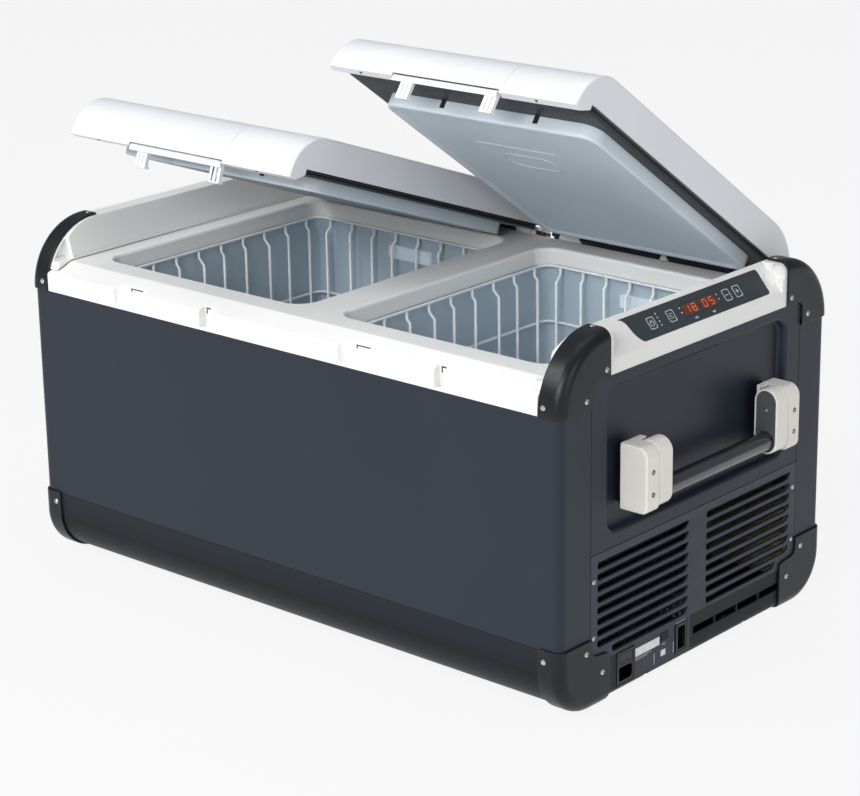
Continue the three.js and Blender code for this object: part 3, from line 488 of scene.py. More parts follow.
CASING = surface("casing coated sheet", "casing_sheet", "222935", "1d2430", (0.38, 0.41), 1400, 0.012, 3,
                 0.1, shine=0.32)
# the edge colours of the corner, grille and tray surfaces are painted highlights along their sharp edges
CORNER = surface("corner moulded plastic", "dark_plastic", "12151a", "0f1216", (0.3, 0.42), 1500, 0.03, 9,
                 edge="262a31", shine=0.3)
GRILLE = surface("grille moulded plastic", "dark_plastic", "28303e", "232a37", (0.38, 0.5), 1500, 0.025, 9,
                 edge="323843", shine=0.34)
TRAY = surface("tray moulded plastic", "dark_plastic", "12161d", "0f1319", (0.46, 0.5), 1500, 0.025, 8,
               edge="222730", shine=0.18)
DARK_PART = surface("socket black plastic", "dark_plastic", "101216", "0b0d10", (0.35, 0.5), 1200, 0.02, 20)
WHITE = surface("rim white plastic", "white_plastic", "e8e8e7", "e2e2e0", (0.34, 0.44), 1100, 0.015, 6)
LID = surface("lid white plastic", "lid_white", "dadbdf", "d3d4d9", (0.36, 0.46), 1300, 0.02, 5)
LINER = surface("liner pale plastic", "liner", "b4c4ce", "a6b7c2", (0.32, 0.42), 700, 0.015, 6)
LID_LINER = surface("lid liner grey plastic", "lid_liner", "c4ced6", "bac5ce", (0.36, 0.48), 900, 0.02, 6)
RUBBER = surface("gasket rubber", "gasket", "1c2327", "161b1f", (0.4, 0.55), 1600, 0.03, 20)
FASCIA = surface("fascia film", "fascia", "343d42", "2d363a", (0.28, 0.38), 1800, 0.015, 12)
ICON = surface("printed icon white", "white_plastic", "c6cbcc", "b8bec0", (0.4, 0.5), 1500, 0.005, 60)
SCREEN = surface("display red window", "display", "5a291d", "4c2218", (0.22, 0.3), 1500, 0.004, 90,
                 glow=("8a3a26", 0.22))
DIGIT = surface("display digit", "display", "d8714a", "c4623d", (0.3, 0.4), 1500, 0.002, 90,
                glow=("f07a4a", 0.3))
HANDLE = surface("handle white plastic", "handle_plastic", "e2dfda", "dad6d1", (0.36, 0.46), 1200, 0.02, 14)
HANDLE_DARK = surface("handle inner grey plastic", "dark_plastic", "4d5457", "454b4e", (0.4, 0.5), 1300,
                      0.02, 14)
TUBE = surface("tube dark enamel", "handle_tube", "6a6b70", "626368", (0.18, 0.24), 1600, 0.006, 10, 0.9,
               shine=0.4)
WIRE = surface("basket white coating", "basket_wire", "eef1f4", "e3e8ec", (0.25, 0.35), 1200, 0.02, 30,
               coat=0.3)
FOAM = surface("insulation foam", None, "dccf9d", "c7b984", (0.75, 0.9), 400, 0.25, 30)
IRON = surface("compressor black enamel", None, "1d1e20", "151618", (0.3, 0.42), 700, 0.03, 12, 0.3)
ALUMINIUM = surface("rolled aluminium", None, "b5b9bd", "a4a9ae", (0.28, 0.42), 900, 0.02, 14, 1.0,
                    streaks=(1, 1, 12))
BOARD = surface("module cast aluminium", None, "8d9296", "7c8185", (0.45, 0.6), 600, 0.06, 16, 0.9)
STEEL = surface("stainless steel", "steel", "d8d5d3", "c3c0be", (0.2, 0.32), 1400, 0.008, 60, 1.0)
# painted shade: a dark surface put where holes, slots and recesses would be in shadow
HOLE_SHADE = surface("painted hole shade", "dark_plastic", "0f1113", "0a0b0d", (0.5, 0.65), 1200, 0.02, 20)
LENS = surface("interior light lens", None, "d3dde4", "c4d0d8", (0.2, 0.3), 900, 0.02, 30,
               glow=("dff1ff", 0.12))
PAPER = surface("blank label", "white_plastic", "dfe0e2", "cfd1d4", (0.5, 0.6), 1500, 0.01, 120)


# ---- camera, floor and lights ----
def make_camera():
    azimuth, elevation, roll = 41.4 * DEG, 18.3 * DEG, -0.9 * DEG
    target = Vector((0, 0.0173, 0.2296))
    distance = 3.394
    back = Vector((math.sin(azimuth) * math.cos(elevation), -math.cos(azimuth) * math.cos(elevation),
                   math.sin(elevation)))
    right = (-back).cross(Vector((0, 0, 1))).normalized()
    up = right.cross(-back)
    turned_right = right * math.cos(roll) + up * math.sin(roll)
    turned_up = up * math.cos(roll) - right * math.sin(roll)
    camera = placed("camera", bpy.data.cameras.new("camera"))
    camera.data.sensor_width = 36
    camera.data.lens = 110.9
    place = Matrix((turned_right, turned_up, back)).transposed().to_4x4()
    place.translation = target + back * distance
    camera.matrix_world = place
    bpy.context.scene.camera = camera


def make_floor():
    reach = 40
    bm = bmesh.new()
    bmesh.ops.create_grid(bm, x_segments=1, y_segments=1, size=reach)
    floor = piece_from("studio_floor", bm)
    made = Nodes("studio floor")
    colour = made.ramp(made.noise(0.8), (tone("3f3f3f"), tone("424242")))
    fill(made.shader, Base_Color=colour, Roughness=0.9, Specular_IOR_Level=0.1,
         Emission_Color=tone("f6f6f6"), Emission_Strength=0.955)
    floor.data.materials.append(made.material)


LIGHT_AIM = (0, 0, 0.25)


def softbox(name, spot, width, height, watts):
    """A white area light that looks at the middle of the fridge."""
    light = bpy.data.lights.new(name, "AREA")
    light.shape = "RECTANGLE"
    light.size = width
    light.size_y = height
    light.energy = watts
    holder = placed(name, light)
    spot = Vector(spot)
    place = (Vector(LIGHT_AIM) - spot).to_track_quat("-Z", "Y").to_matrix().to_4x4()
    place.translation = spot
    holder.matrix_world = place


def make_lights():
    softbox("key_front", (-1.3, -2.6, 2.7), 1.8, 1.3, 74)
    softbox("front_right", (1.0, -3.0, 1.8), 1.6, 1.0, 62)
    softbox("top_softbox", (0.2, 0.5, 3.2), 3.0, 2.2, 24)
    softbox("side_right", (3.0, -0.6, 1.3), 1.4, 1.4, 13)
    world = bpy.data.worlds.new("studio")
    bpy.context.scene.world = world
    world.use_nodes = True
    fill(world.node_tree.nodes["Background"], Color=tone("fafbff"), Strength=0.28)
    bpy.context.scene.view_settings.view_transform = "Standard"


# ---- the outer envelope: a rounded box with large radii along its long edges ----
def envelope_outline(inset, steps=18):
    side = HALF_DEPTH - inset
    top = HEIGHT - inset
    base, crown = BASE_RADIUS - inset, TOP_RADIUS - inset
    return (arc(side - base, inset + base, base, -90, 0, steps)
            + arc(side - crown, top - crown, crown, 0, 90, steps)
            + arc(crown - side, top - crown, crown, 90, 180, steps)
            + arc(base - side, inset + base, base, 180, 270, steps))


def envelope(inset, steps=18, edge_steps=7):
    edge = EDGE_RADIUS - inset
    flat = HALF_LENGTH - inset - edge
    turns = [90 * i / edge_steps for i in range(edge_steps + 1)]
    rings = []
    for side, order in ((-1, reversed(turns)), (1, turns)):
        for angle in order:
            x = side * (flat + edge * math.sin(angle * DEG))
            shrink = inset + edge * (1 - math.cos(angle * DEG))
            rings.append([(x, y, z) for y, z in envelope_outline(shrink, steps)])
    return loft(rings)


def envelope_shell(outer, inner):
    return cut(envelope(outer), envelope(inner))


# ---- corner caps and guards ----
def cap_outline():
    step = 8
    shelf = PANEL_TOP + GAP
    corner = arc(-END_SEAM_Y + step, shelf - step, step, 90, 180, 6)
    return [(-FAR, FAR), (-CAP_INNER_Y, FAR), (-CAP_INNER_Y, shelf)] + corner + [
        (-END_SEAM_Y, RIM_BOTTOM), (-FAR, RIM_BOTTOM)]


def guard_outline():
    inner_y, seam = -GUARD_INNER_Y, -END_SEAM_Y
    foot = bezier((inner_y - 7, -10), (inner_y - 4, 5), (inner_y, 8), (inner_y, 18), 6)
    inner = bezier((inner_y, 54), (inner_y, 62), (inner_y - 3, 64), (inner_y - 10, 64), 6)
    outer = bezier((seam + 8, 66), (seam + 2, 67), (seam, 70), (seam, 76), 6)
    return [(-FAR, -10)] + foot + inner + outer + [(seam, GUARD_TOP), (-FAR, GUARD_TOP)]


CORNERS = {"front_right": (False, False), "front_left": (True, False),
           "rear_right": (False, True), "rear_left": (True, True)}


def make_corners():
    skin = envelope_shell(0, GUARD_WALL)
    guard_skin = copy_of(skin)
    cap = meet(skin, prism(cap_outline(), "X", CORNER_INNER_X, FAR))
    guard = meet(guard_skin, prism(guard_outline(), "X", CORNER_INNER_X, FAR))
    for place, (flip_x, flip_y) in CORNERS.items():
        for source, kind in ((cap, "top_cap"), (guard, "base_guard")):
            piece = copy_of(source, flip_x, flip_y)
            finished(piece, f"{kind}_moulding_{place}", CORNER, [f"{kind}_{place}"], bevel=1.1, segments=3)
    bpy.data.objects.remove(cap)
    bpy.data.objects.remove(guard)


# ---- casing sheets and end panels ----
def make_casings():
    sheet = envelope_shell(CASING_INSET, CASING_INSET + 2)
    band = box(-FAR, FAR, -FAR, -END_SEAM_Y - GAP, TRAY_TOP + GAP, RIM_BOTTOM - GAP)
    front = meet(sheet, band)
    rear = copy_of(front, flip_y=True)
    finished(front, "front_casing_sheet", CASING, ["front_casing"], bevel=0.5)
    finished(rear, "rear_casing_sheet", CASING, ["rear_casing"], bevel=0.5)


RECESS = {"half_width": 174, "bottom": 208, "top": 378, "radius": 16, "depth": 10.5}


def recess_outline(grow):
    reach = RECESS["half_width"] + grow
    return rounded(-reach, reach, RECESS["bottom"] - grow, RECESS["top"] + grow, RECESS["radius"] + grow, 10)


def make_end_panels():
    """The pressed sheet of each end with its handle recess; the left one reaches further down."""
    face, skin = PANEL_FACE, 2.5
    floor = face - RECESS["depth"]
    pressed = [(floor, -4.5), (floor + 0.7, -2.4), (floor + 2.2, -0.7), (floor + 4.5, 0), (face - 3.5, 0.6),
               (face - 1.6, 1.8), (face - 0.5, 3.6), (face + 0.1, 6), (face + 5, 6)]
    for side in ("right", "left"):
        low, high = corners(f"{side}_end_panel")
        plate = box(face - skin, face, low.y, high.y, low.z, high.z)
        pan = prism(recess_outline(skin), "X", floor - skin, face - 1)
        panel = cut(join(plate, pan), stacked(recess_outline, "X", pressed))
        finished(mirrored(panel, side == "left"), f"{side}_end_sheet", CASING, [f"{side}_end_panel"],
                 bevel=0.6, angle=40)


# ---- ventilation grille, sockets and base tray ----
VENT = {"rows": 9, "pitch": 13.7, "height": 8.6, "top": 173, "near": 18, "far": 193, "short_far": 165}
SOCKET_BAY = (-160, -13, 12)


def flared(outline_of, back, face, flare=0.9):
    """A hole along X whose edge at the face is rounded; outline_of takes the growth."""
    profile = [(back, 0), (face - flare, 0), (face - flare * 0.3, flare * 0.3), (face + 0.02, flare),
               (face + 2, flare)]
    return stacked(outline_of, "X", profile)


def slot_outline(y0, y1, z, grow=0.0):
    """A slot whose inner end is round and whose outer end sweeps up to a point, seen from outside."""
    low = z - VENT["height"] / 2 - grow
    high = z + VENT["height"] / 2 + grow
    y0, y1 = y0 - grow, y1 + grow
    tip = bezier((y1 - 13, low), (y1 - 5, low), (y1 - 1, low + 3), (y1, high - 0.5), 6)
    return (arc(y0 + 4, low + 4, 4, 180, 270, 4) + tip + [(y1 - 0.6, high)]
            + arc(y0 + 2.5, high - 2.5, 2.5, 90, 180, 3))


def make_grille():
    """The grille with its rows of slots, a sloping louvre behind each slot, and the apron for the sockets."""
    side = END_SEAM_Y - GAP
    back = PANEL_FACE - 3
    plate = box(back, PANEL_FACE, -side, side, GRILLE_BOTTOM + GAP, corners("vent_grille")[1].z)
    bay_y0, bay_y1, bay_z = SOCKET_BAY
    apron = box(back, PANEL_FACE, bay_y0, bay_y1, bay_z, GRILLE_BOTTOM + 1)
    holes = []
    louvres = []
    for row in range(VENT["rows"]):
        z = VENT["top"] - row * VENT["pitch"]
        far = VENT["short_far"] if row == VENT["rows"] - 1 else VENT["far"]
        for y0, y1 in ((-far, -VENT["near"]), (VENT["near"], far)):
            holes.append(flared(lambda grow: slot_outline(y0, y1, z, grow), back - 1, PANEL_FACE, 0.8))
            blade = [(back + 0.6, z + 6.5), (back - 3, z + 4.5), (back - 8, z - 3.5), (back - 8, z - 5.5),
                     (back - 4, z + 1.5), (back + 0.6, z + 4.6)]
            louvres.append(prism(blade, "Y", y0 - 3, y1 + 3))
    for node in ("ac_inlet", "dc_socket"):
        low, high = corners(node)
        holes.append(box(back - 1, FAR, low.y - GAP, high.y + GAP, low.z - GAP, high.z + GAP))
    grille = join(cut(join(plate, apron), *holes), *louvres)
    finished(grille, "vent_grille_moulding", GRILLE, ["vent_grille"], bevel=0, pierced=True)


def make_socket_details():
    """The blank labels, the small cover, the printed lines and the raised frames round the sockets."""
    face = PANEL_FACE
    label = box(face - 0.3, face + 0.2, -121, -74, 37, 47.5)
    finished(label, "blank_rating_label", PAPER, bevel=0.1)
    sticker = box(face - 0.3, face + 0.2, -71, -62, 21, 28.5)
    finished(sticker, "blank_square_label", PAPER, bevel=0.1)
    cover = prism(rounded(-71.5, -56, 39.5, 50, 1.2, 3), "X", face - 0.4, face + 0.8)
    finished(cover, "data_port_cover", TRAY, bevel=0.35)
    lines = [box(face - 0.2, face + 0.15, y0, y1, z0, z1) for y0, y1, z0, z1 in (
        (-84.4, -83.6, 15, 29), (-46.4, -45.6, 17, 31.5), (-69.5, -64.5, 35.3, 35.9), (-42, -22, 52.4, 53),
        (-121, -90, 34.6, 35.1), (-121, -98, 32.6, 33.1), (-64.8, -64, 34, 37))]
    finished(join(*lines), "socket_frame_lines", ICON, bevel=0)
    for node in ("ac_inlet", "dc_socket"):
        low, high = corners(node)
        rim = cut(box(face - 0.4, face + 1.6, low.y - 1.6, high.y + 1.6, low.z - 1.6, high.z + 1.6),
                  box(face - 1, face + 3, low.y + 0.4, high.y - 0.4, low.z + 0.4, high.z - 0.4))
        finished(rim, f"{node}_surround", DARK_PART, bevel=0.5)


def make_base_tray():
    """The tray with its socket bay, the row of long drain slots and two notches under the right end."""
    shell = envelope_shell(CASING_INSET, CASING_INSET + 3)
    tray = meet(shell, box(-FAR, FAR, -FAR, FAR, -10, TRAY_TOP))
    inside = 400
    bay_y0, bay_y1, bay_z = SOCKET_BAY
    tools = [box(inside, FAR, -END_SEAM_Y, END_SEAM_Y, GRILLE_BOTTOM, FAR),
             box(inside, FAR, bay_y0 - GAP, bay_y1 + GAP, bay_z - GAP, FAR)]
    length, count, rib = 184, 4, 3
    low, high = 28, 37
    for i in range(count):
        start = -6 + i * length / count
        end = start + length / count - rib
        tools.append(flared(lambda grow: rectangle(start - grow, end + grow, low - grow, high + grow),
                            inside, PANEL_FACE))
    for y in (-96, 106):
        tools.append(prism(rounded(y - 5, y + 5, -8, 9, 3, 4), "X", inside, FAR))
    finished(cut(tray, *tools), "base_tray_moulding", TRAY, ["base_tray"], bevel=0, pierced=True)


# ---- white top rim ----
RIM_BACK = 240
UNDERSIDE = 378
TROUGH_Y = 236
TROUGH_Z = 383
POCKET_BACK = 252
POCKET_BOTTOM = 367
HOOK_WIDTH = 18
HOOK_INSET = 14


def opening_outline(opening, grow, steps=10):
    x0, x1 = OPENINGS[opening][:2]
    half = OPENING_HALF_DEPTH + grow
    return rounded(x0 - grow, x1 + grow, -half, half, OPENING_RADIUS + grow, steps)


def opening_solid(opening, profile, offset=0):
    """A solid through the opening's outline; the profile is (z, grow), the offset adds to each grow."""
    return stacked(lambda grow: opening_outline(opening, grow + offset), "Z", profile)


def hook_spans(x0, x1):
    return [(x0 + HOOK_INSET, x0 + HOOK_INSET + HOOK_WIDTH), (x1 - HOOK_WIDTH, x1)]


def support_spans(lid):
    middle = (lid["x0"] + lid["x1"]) / 2
    return [(x - 6, x + 6) for x in (lid["x0"] + 20, middle, lid["x1"] - 20)]


def knuckle_spans(lid):
    supports = support_spans(lid)
    return [(supports[0][1] + 0.5, supports[0][1] + 24.5), (supports[2][0] - 24.5, supports[2][0] - 0.5)]


def latch_pocket(outline):
    return prism(outline, "Z", POCKET_BOTTOM, DECK + 1)


def make_top_rim():
    """The deck with its two openings, the latch pockets at the front and the hinge ears at the rear."""
    rear_lip = RIM_FRONT - 6
    crest = arc(-232.5, DECK - 7, 7, 90, 113, 4)
    profile = [(-RIM_FRONT, RIM_BOTTOM), (-RIM_BACK, RIM_BOTTOM), (-RIM_BACK, UNDERSIDE),
               (rear_lip, UNDERSIDE), (rear_lip, RIM_BOTTOM), (RIM_FRONT, RIM_BOTTOM), (RIM_FRONT, TROUGH_Z),
               (TROUGH_Y, TROUGH_Z), (TROUGH_Y, DECK)]
    profile += crest + [(-RIM_FRONT + 3, 389.2), (-RIM_FRONT + 0.8, 388), (-RIM_FRONT, 386.2)]
    end = CORNER_INNER_X - GAP
    rim = prism(profile, "X", -end, end)
    soft_lip = [(RIM_BOTTOM - 1, 0), (DECK - 5, 0), (DECK - 2.4, 0.6), (DECK - 0.8, 2), (DECK + 0.1, 4.5),
                (DECK + 2, 4.5)]
    for lid in LIDS.values():
        rim = cut(rim, opening_solid(lid["opening"], soft_lip))
        first, second = hook_spans(*lid["latch"])
        left = first[0] - 25
        round_side = arc(left + 12, -POCKET_BACK - 12, 12, 90, 180, 8)
        round_side += [(left, -FAR), (left + 13, -FAR), (left + 13, -POCKET_BACK)]
        rim = cut(rim, latch_pocket(rectangle(left + 12, left + 50, -FAR, -POCKET_BACK)),
                  latch_pocket(round_side),
                  latch_pocket(rectangle(second[0] - 2, second[1] + 2, -FAR, -POCKET_BACK)))
        for x0, x1 in support_spans(lid):
            ear = prism(rounded(HINGE_Y - 6, HINGE_Y + 6, TROUGH_Z - 2, HINGE_Z + 6, 5.9), "X", x0, x1)
            rim = join(rim, ear)
    finished(rim, "top_rim_moulding", WHITE, ["top_rim"], bevel=0.9, segments=3)
    make_catch_slot_shade()


def make_catch_slot_shade():
    """Dark L-shaped marks at the back of the latch pockets: painted shade where the catch slots open."""
    back = -POCKET_BACK
    for side, lid in LIDS.items():
        first, second = hook_spans(*lid["latch"])
        x, x2 = first[0] - 4.6, second[0] + 1
        strokes = [(x, x + 22, 389.4, 390.8), (x, x + 1.6, 386, 390.8),
                   (x2, x2 + 7, 388.6, 390.4), (x2, x2 + 1.6, 382.5, 390.4)]
        # dark strokes standing on the pocket back: painted shade in place of the slot openings
        marks = [box(x0, x1, back - 0.4, back + 1, z0, z1) for x0, x1, z0, z1 in strokes]
        finished(join(*marks), f"{side}_catch_slot_shade", HOLE_SHADE, bevel=0)


# ---- end housings and the control face ----
HOUSING_TOP = HEIGHT - CASING_INSET
INNER_TOP_X = 402
INNER_BOTTOM_X = 390
CHAMFER_TOP = (404, HOUSING_TOP)
CHAMFER_BOTTOM = (434, 412)
CHAMFER_HALF_WIDTH = 166
FASCIA_ENDS = (-128, 146)
FASCIA_HALF_HEIGHT = 17
FASCIA_THICKNESS = 1.6
KEYS = {"power": -76, "mode": -39, "minus": 71, "plus": 92}
KEY_HALF = (7, 8)
SCREEN_AREA = (-15, 49, -8, 9)


def control_place(a, b, c):
    """A point of the sloping control face: along +Y, up the slope and outward."""
    (top_x, top_z), (low_x, low_z) = CHAMFER_TOP, CHAMFER_BOTTOM
    middle_x, middle_z = (top_x + low_x) / 2, (top_z + low_z) / 2
    run, rise = top_x - low_x, top_z - low_z
    length = math.hypot(run, rise)
    up_x, up_z = run / length, rise / length
    return (middle_x + b * up_x + c * up_z, a, middle_z + b * up_z - c * up_x)


def on_control(outline, start, end):
    return loft([[control_place(a, b, c) for a, b in outline] for c in (start, end)])


def fascia_outline(grow=0):
    left, right = FASCIA_ENDS[0] - grow, FASCIA_ENDS[1] + grow
    low, high = -FASCIA_HALF_HEIGHT - grow, FASCIA_HALF_HEIGHT + grow
    sweep = bezier((left + 3, high), (left + 20, high - 5), (left + 8, low + 12), (left + 26, low), 14)
    return sweep + arc(right - 4, low + 4, 4, -90, 0, 4) + arc(right - 4, high - 4, 4, 0, 90, 4)


def key_outline(y, grow=0.0):
    wide, tall = KEY_HALF[0] + grow, KEY_HALF[1] + grow
    return rounded(y - wide, y + wide, -tall, tall, 2.5, 4)


def make_housings():
    """Both end housings; the right one gets the sloping control face, its wells and the thumb dimple."""
    section = [(FAR, PANEL_TOP + GAP), (FAR, FAR), (INNER_TOP_X, FAR), (INNER_TOP_X, HOUSING_TOP),
               (INNER_BOTTOM_X, DECK + GAP), (CORNER_INNER_X, DECK + GAP), (CORNER_INNER_X, PANEL_TOP + GAP)]
    housing = meet(envelope(CASING_INSET), prism(section, "Y", -FAR, FAR))
    above_slope = [(-234, DECK + 1.5), (-234, DECK + GAP), (-236, DECK - 0.2), (-261.4, 389.9),
                   (-RIM_FRONT + 0.6, 388.5), (-FAR, 388.5), (-FAR, DECK + 1.5)]
    skirt = meet(envelope(CASING_INSET), prism(above_slope, "X", INNER_BOTTOM_X, CORNER_INNER_X + 1))
    housing = join(housing, skirt)
    low, high = INNER_BOTTOM_X - 5, INNER_TOP_X + 6
    hollow = prism(envelope_outline(CASING_INSET + 2.6), "X", low, high)
    wide_hollow = copy_of(hollow)
    above = DECK + 4
    pocket = meet(hollow, box(0, FAR, -FAR, -230, above, FAR))
    wide = meet(wide_hollow, box(0, INNER_BOTTOM_X + 2, -226, FAR, above, FAR))
    bulge = box(0, CORNER_INNER_X - 1.5, -FAR, -230, DECK + 1, FAR)
    housing = cut(housing, pocket, wide, bulge)
    left = copy_of(housing, flip_x=True)
    finished(left, "left_housing_moulding", WHITE, ["left_end_housing"], bevel=0.9)

    slope = [CHAMFER_TOP, CHAMFER_BOTTOM, (FAR, CHAMFER_BOTTOM[1]), (FAR, FAR), (CHAMFER_TOP[0], FAR)]
    chamfer = prism(slope, "Y", -CHAMFER_HALF_WIDTH, CHAMFER_HALF_WIDTH)
    bed = on_control(fascia_outline(GAP), -FASCIA_THICKNESS - 1, 20)
    turn = Vector(control_place(0, 0, 1)) - Vector(control_place(0, 0, 0))
    bowl = [(14 * math.sin(t * DEG), -14 * math.cos(t * DEG)) for t in range(0, 181, 12)]
    bowl[0] = (0, -14)
    bowl[-1] = (0, 14)
    dimple = lathe(bowl, control_place(157, 0, 10.5), turn, 32)
    wells = [on_control(key_outline(y, GAP), -4.5, 1) for y in KEYS.values()]
    housing = cut(housing, chamfer, bed, dimple, *wells)
    finished(housing, "control_housing_moulding", WHITE, ["control_housing"], bevel=0.8, segments=3)


PRINT_BACK = 0.15
PRINT_FACE = 0.3


def key_frame(y):
    """The thin printed line just inside a key's edge."""
    wide, tall = KEY_HALF
    outer, inner = [rounded(y - wide + inset, y + wide - inset, inset - tall, tall - inset, 2.2, 4)
                    for inset in (0.4, 1.3)]
    return cut(on_control(outer, PRINT_BACK, PRINT_FACE), on_control(inner, PRINT_BACK - 1, PRINT_FACE + 1))


def glyph(name, y):
    """The generic symbol on a key: a broken ring, a stack of bars, a minus or a plus."""
    start, end = PRINT_BACK, PRINT_FACE

    def bar(a0, a1, b0, b1):
        return on_control(rectangle(y + a0, y + a1, b0, b1), start, end)

    if name == "power":
        ring = cut(on_control(circle(y, -0.5, 3.6, 24), start, end),
                   on_control(circle(y, -0.5, 2.7, 24), start - 1, end + 1))
        return join(cut(ring, on_control(rectangle(y - 1.2, y + 1.2, 1, 6), start - 1, end + 1)),
                    bar(-0.45, 0.45, 0, 4.2))
    if name == "mode":
        return join(bar(-3.4, 3.4, -3.2, -2.4), bar(-3.4, 1.6, -0.4, 0.4), bar(-3.4, 3.4, 2.4, 3.2))
    if name == "minus":
        return bar(-3.2, 3.2, -0.5, 0.5)
    return join(bar(-3.2, 3.2, -0.5, 0.5), bar(-0.5, 0.5, -3.2, 3.2))


def make_control_face():
    """The film over the control face, the display glass, and the keys with their printed symbols."""
    fascia = on_control(fascia_outline(), -FASCIA_THICKNESS, 0)
    tools = [on_control(key_outline(y, GAP), -5, 5) for y in KEYS.values()]
    y0, y1, low, high = SCREEN_AREA
    tools.append(on_control(rectangle(y0 - GAP, y1 + GAP, low - GAP, high + GAP), -5, 5))
    finished(cut(fascia, *tools), "fascia_film", FASCIA, ["control_fascia"], bevel=0.25)
    screen = on_control(rounded(y0, y1, low, high, 1, 2), -FASCIA_THICKNESS - 0.6, -0.2)
    finished(screen, "display_glass", FASCIA, ["display_window"], bevel=0.1, slot="display")
    for name, y in KEYS.items():
        cap = on_control(key_outline(y), -2.2, 0.2)
        finished(cap, f"{name}_key_cap", FASCIA, [f"{name}_key"], f"{name}_key", bevel=0.25)
        printed = join(key_frame(y), glyph(name, y))
        finished(printed, f"{name}_key_print", ICON, body=f"{name}_key", bevel=0)
    make_displays()
    make_indicators()


# the seven strokes of a digit: (across, up, upright) in half widths and half heights
STROKES = {"a": (0, 1, False), "b": (1, 0.5, True), "c": (1, -0.5, True), "d": (0, -1, False),
           "e": (-1, -0.5, True), "f": (-1, 0.5, True), "g": (0, 0, False)}
LIT = {"0": "abcdef", "5": "acdfg", "1": "bc", "8": "abcdefg"}


def make_displays():
    """Two red number windows behind the film, each with two digits."""
    y0, y1, low, high = SCREEN_AREA
    half = 13.5
    for place, middle, text in (("left", y0 + half + 1.5, "18"), ("right", y1 - half - 1.5, "05")):
        window = rounded(middle - half, middle + half, low + 2, high - 2, 1, 2)
        finished(on_control(window, -0.4, -0.05), f"{place}_number_window", SCREEN, bevel=0)
        strokes = []
        for digit, centre in zip(text, (middle - 6.5, middle + 6.5)):
            for stroke in LIT[digit]:
                across, up, upright = STROKES[stroke]
                a, b = centre + across * 3.2, up * 4.6 + 0.5
                wide, tall = (0.55, 1.9) if upright else (2.7, 0.55)
                strokes.append(on_control(rectangle(a - wide, a + wide, b - tall, b + tall), -0.1, 0.05))
        finished(merged(*strokes), f"{place}_number_digits", DIGIT, bevel=0)


def make_indicators():
    """The small lamps beside the keys and displays and the two printed marks below them."""
    dots = [(-62, 9), (-62, 4), (-62, -1), (-62, -6), (-19, 5), (-19, -1), (54, 5), (54, -1)]
    bars = [(-3, 4, -13, -12), (0, 1, -14.5, -10.5), (31, 38, -13, -12), (33, 36, -14.5, -13)]
    lamps = [on_control(circle(a, b, 1.1, 12), -0.1, 0.15) for a, b in dots]
    marks = [on_control(rectangle(*bar), -0.1, 0.12) for bar in bars]
    finished(merged(*lamps, *marks), "indicator_lamps", ICON, bevel=0)


# ---- lids ----
def on_lid(piece, side, name, surface, node=None, body="lid", **edges):
    """Finishes a piece drawn on a closed lid and opens it to its place at rest."""
    stands_for = [f"{side}_{node}"] if node else ()
    finished(opened(piece, side), f"{side}_{name}", surface, stands_for, f"{side}_{body}", **edges)


LID_TOP = HEIGHT - 0.5
LID_FRONT = HALF_DEPTH - 0.5
LID_FRONT_RADIUS = 52
LID_WALL = 3.5
LIP_Z = 395
LIP_CORNER = (-254.5, 392.8)
LIP_INNER_Y = 238
REAR_BOTTOM = 401
SIDE_BOTTOM = 408.3
HOLLOW_BOTTOM = 405
GASKET_REAR = 228
LATCH_TOP = 398.5
LATCH_BOTTOM = 389.6
LATCH_FRONT = 264.2
LATCH_REAR = 257
HOOK_BOTTOM = 370
LIP_SCREW = (-259.6, 394.1)


def lid_crown(inset, bottom, steps=14):
    """The lid's outer line seen from its end, from the rear edge over the top to the front edge."""
    radius = TOP_RADIUS - 0.5
    rear_y, rear_z = HALF_DEPTH - TOP_RADIUS, LID_TOP - radius
    start = math.asin((bottom - rear_z) / (radius - inset)) / DEG
    rear = arc(rear_y, rear_z, radius - inset, start, 90, steps)
    wide = LID_FRONT_RADIUS - inset
    front = arc(LID_FRONT_RADIUS - LID_FRONT, LIP_Z, wide, 90, 180, steps, (LID_TOP - LIP_Z - inset) / wide)
    return rear + front


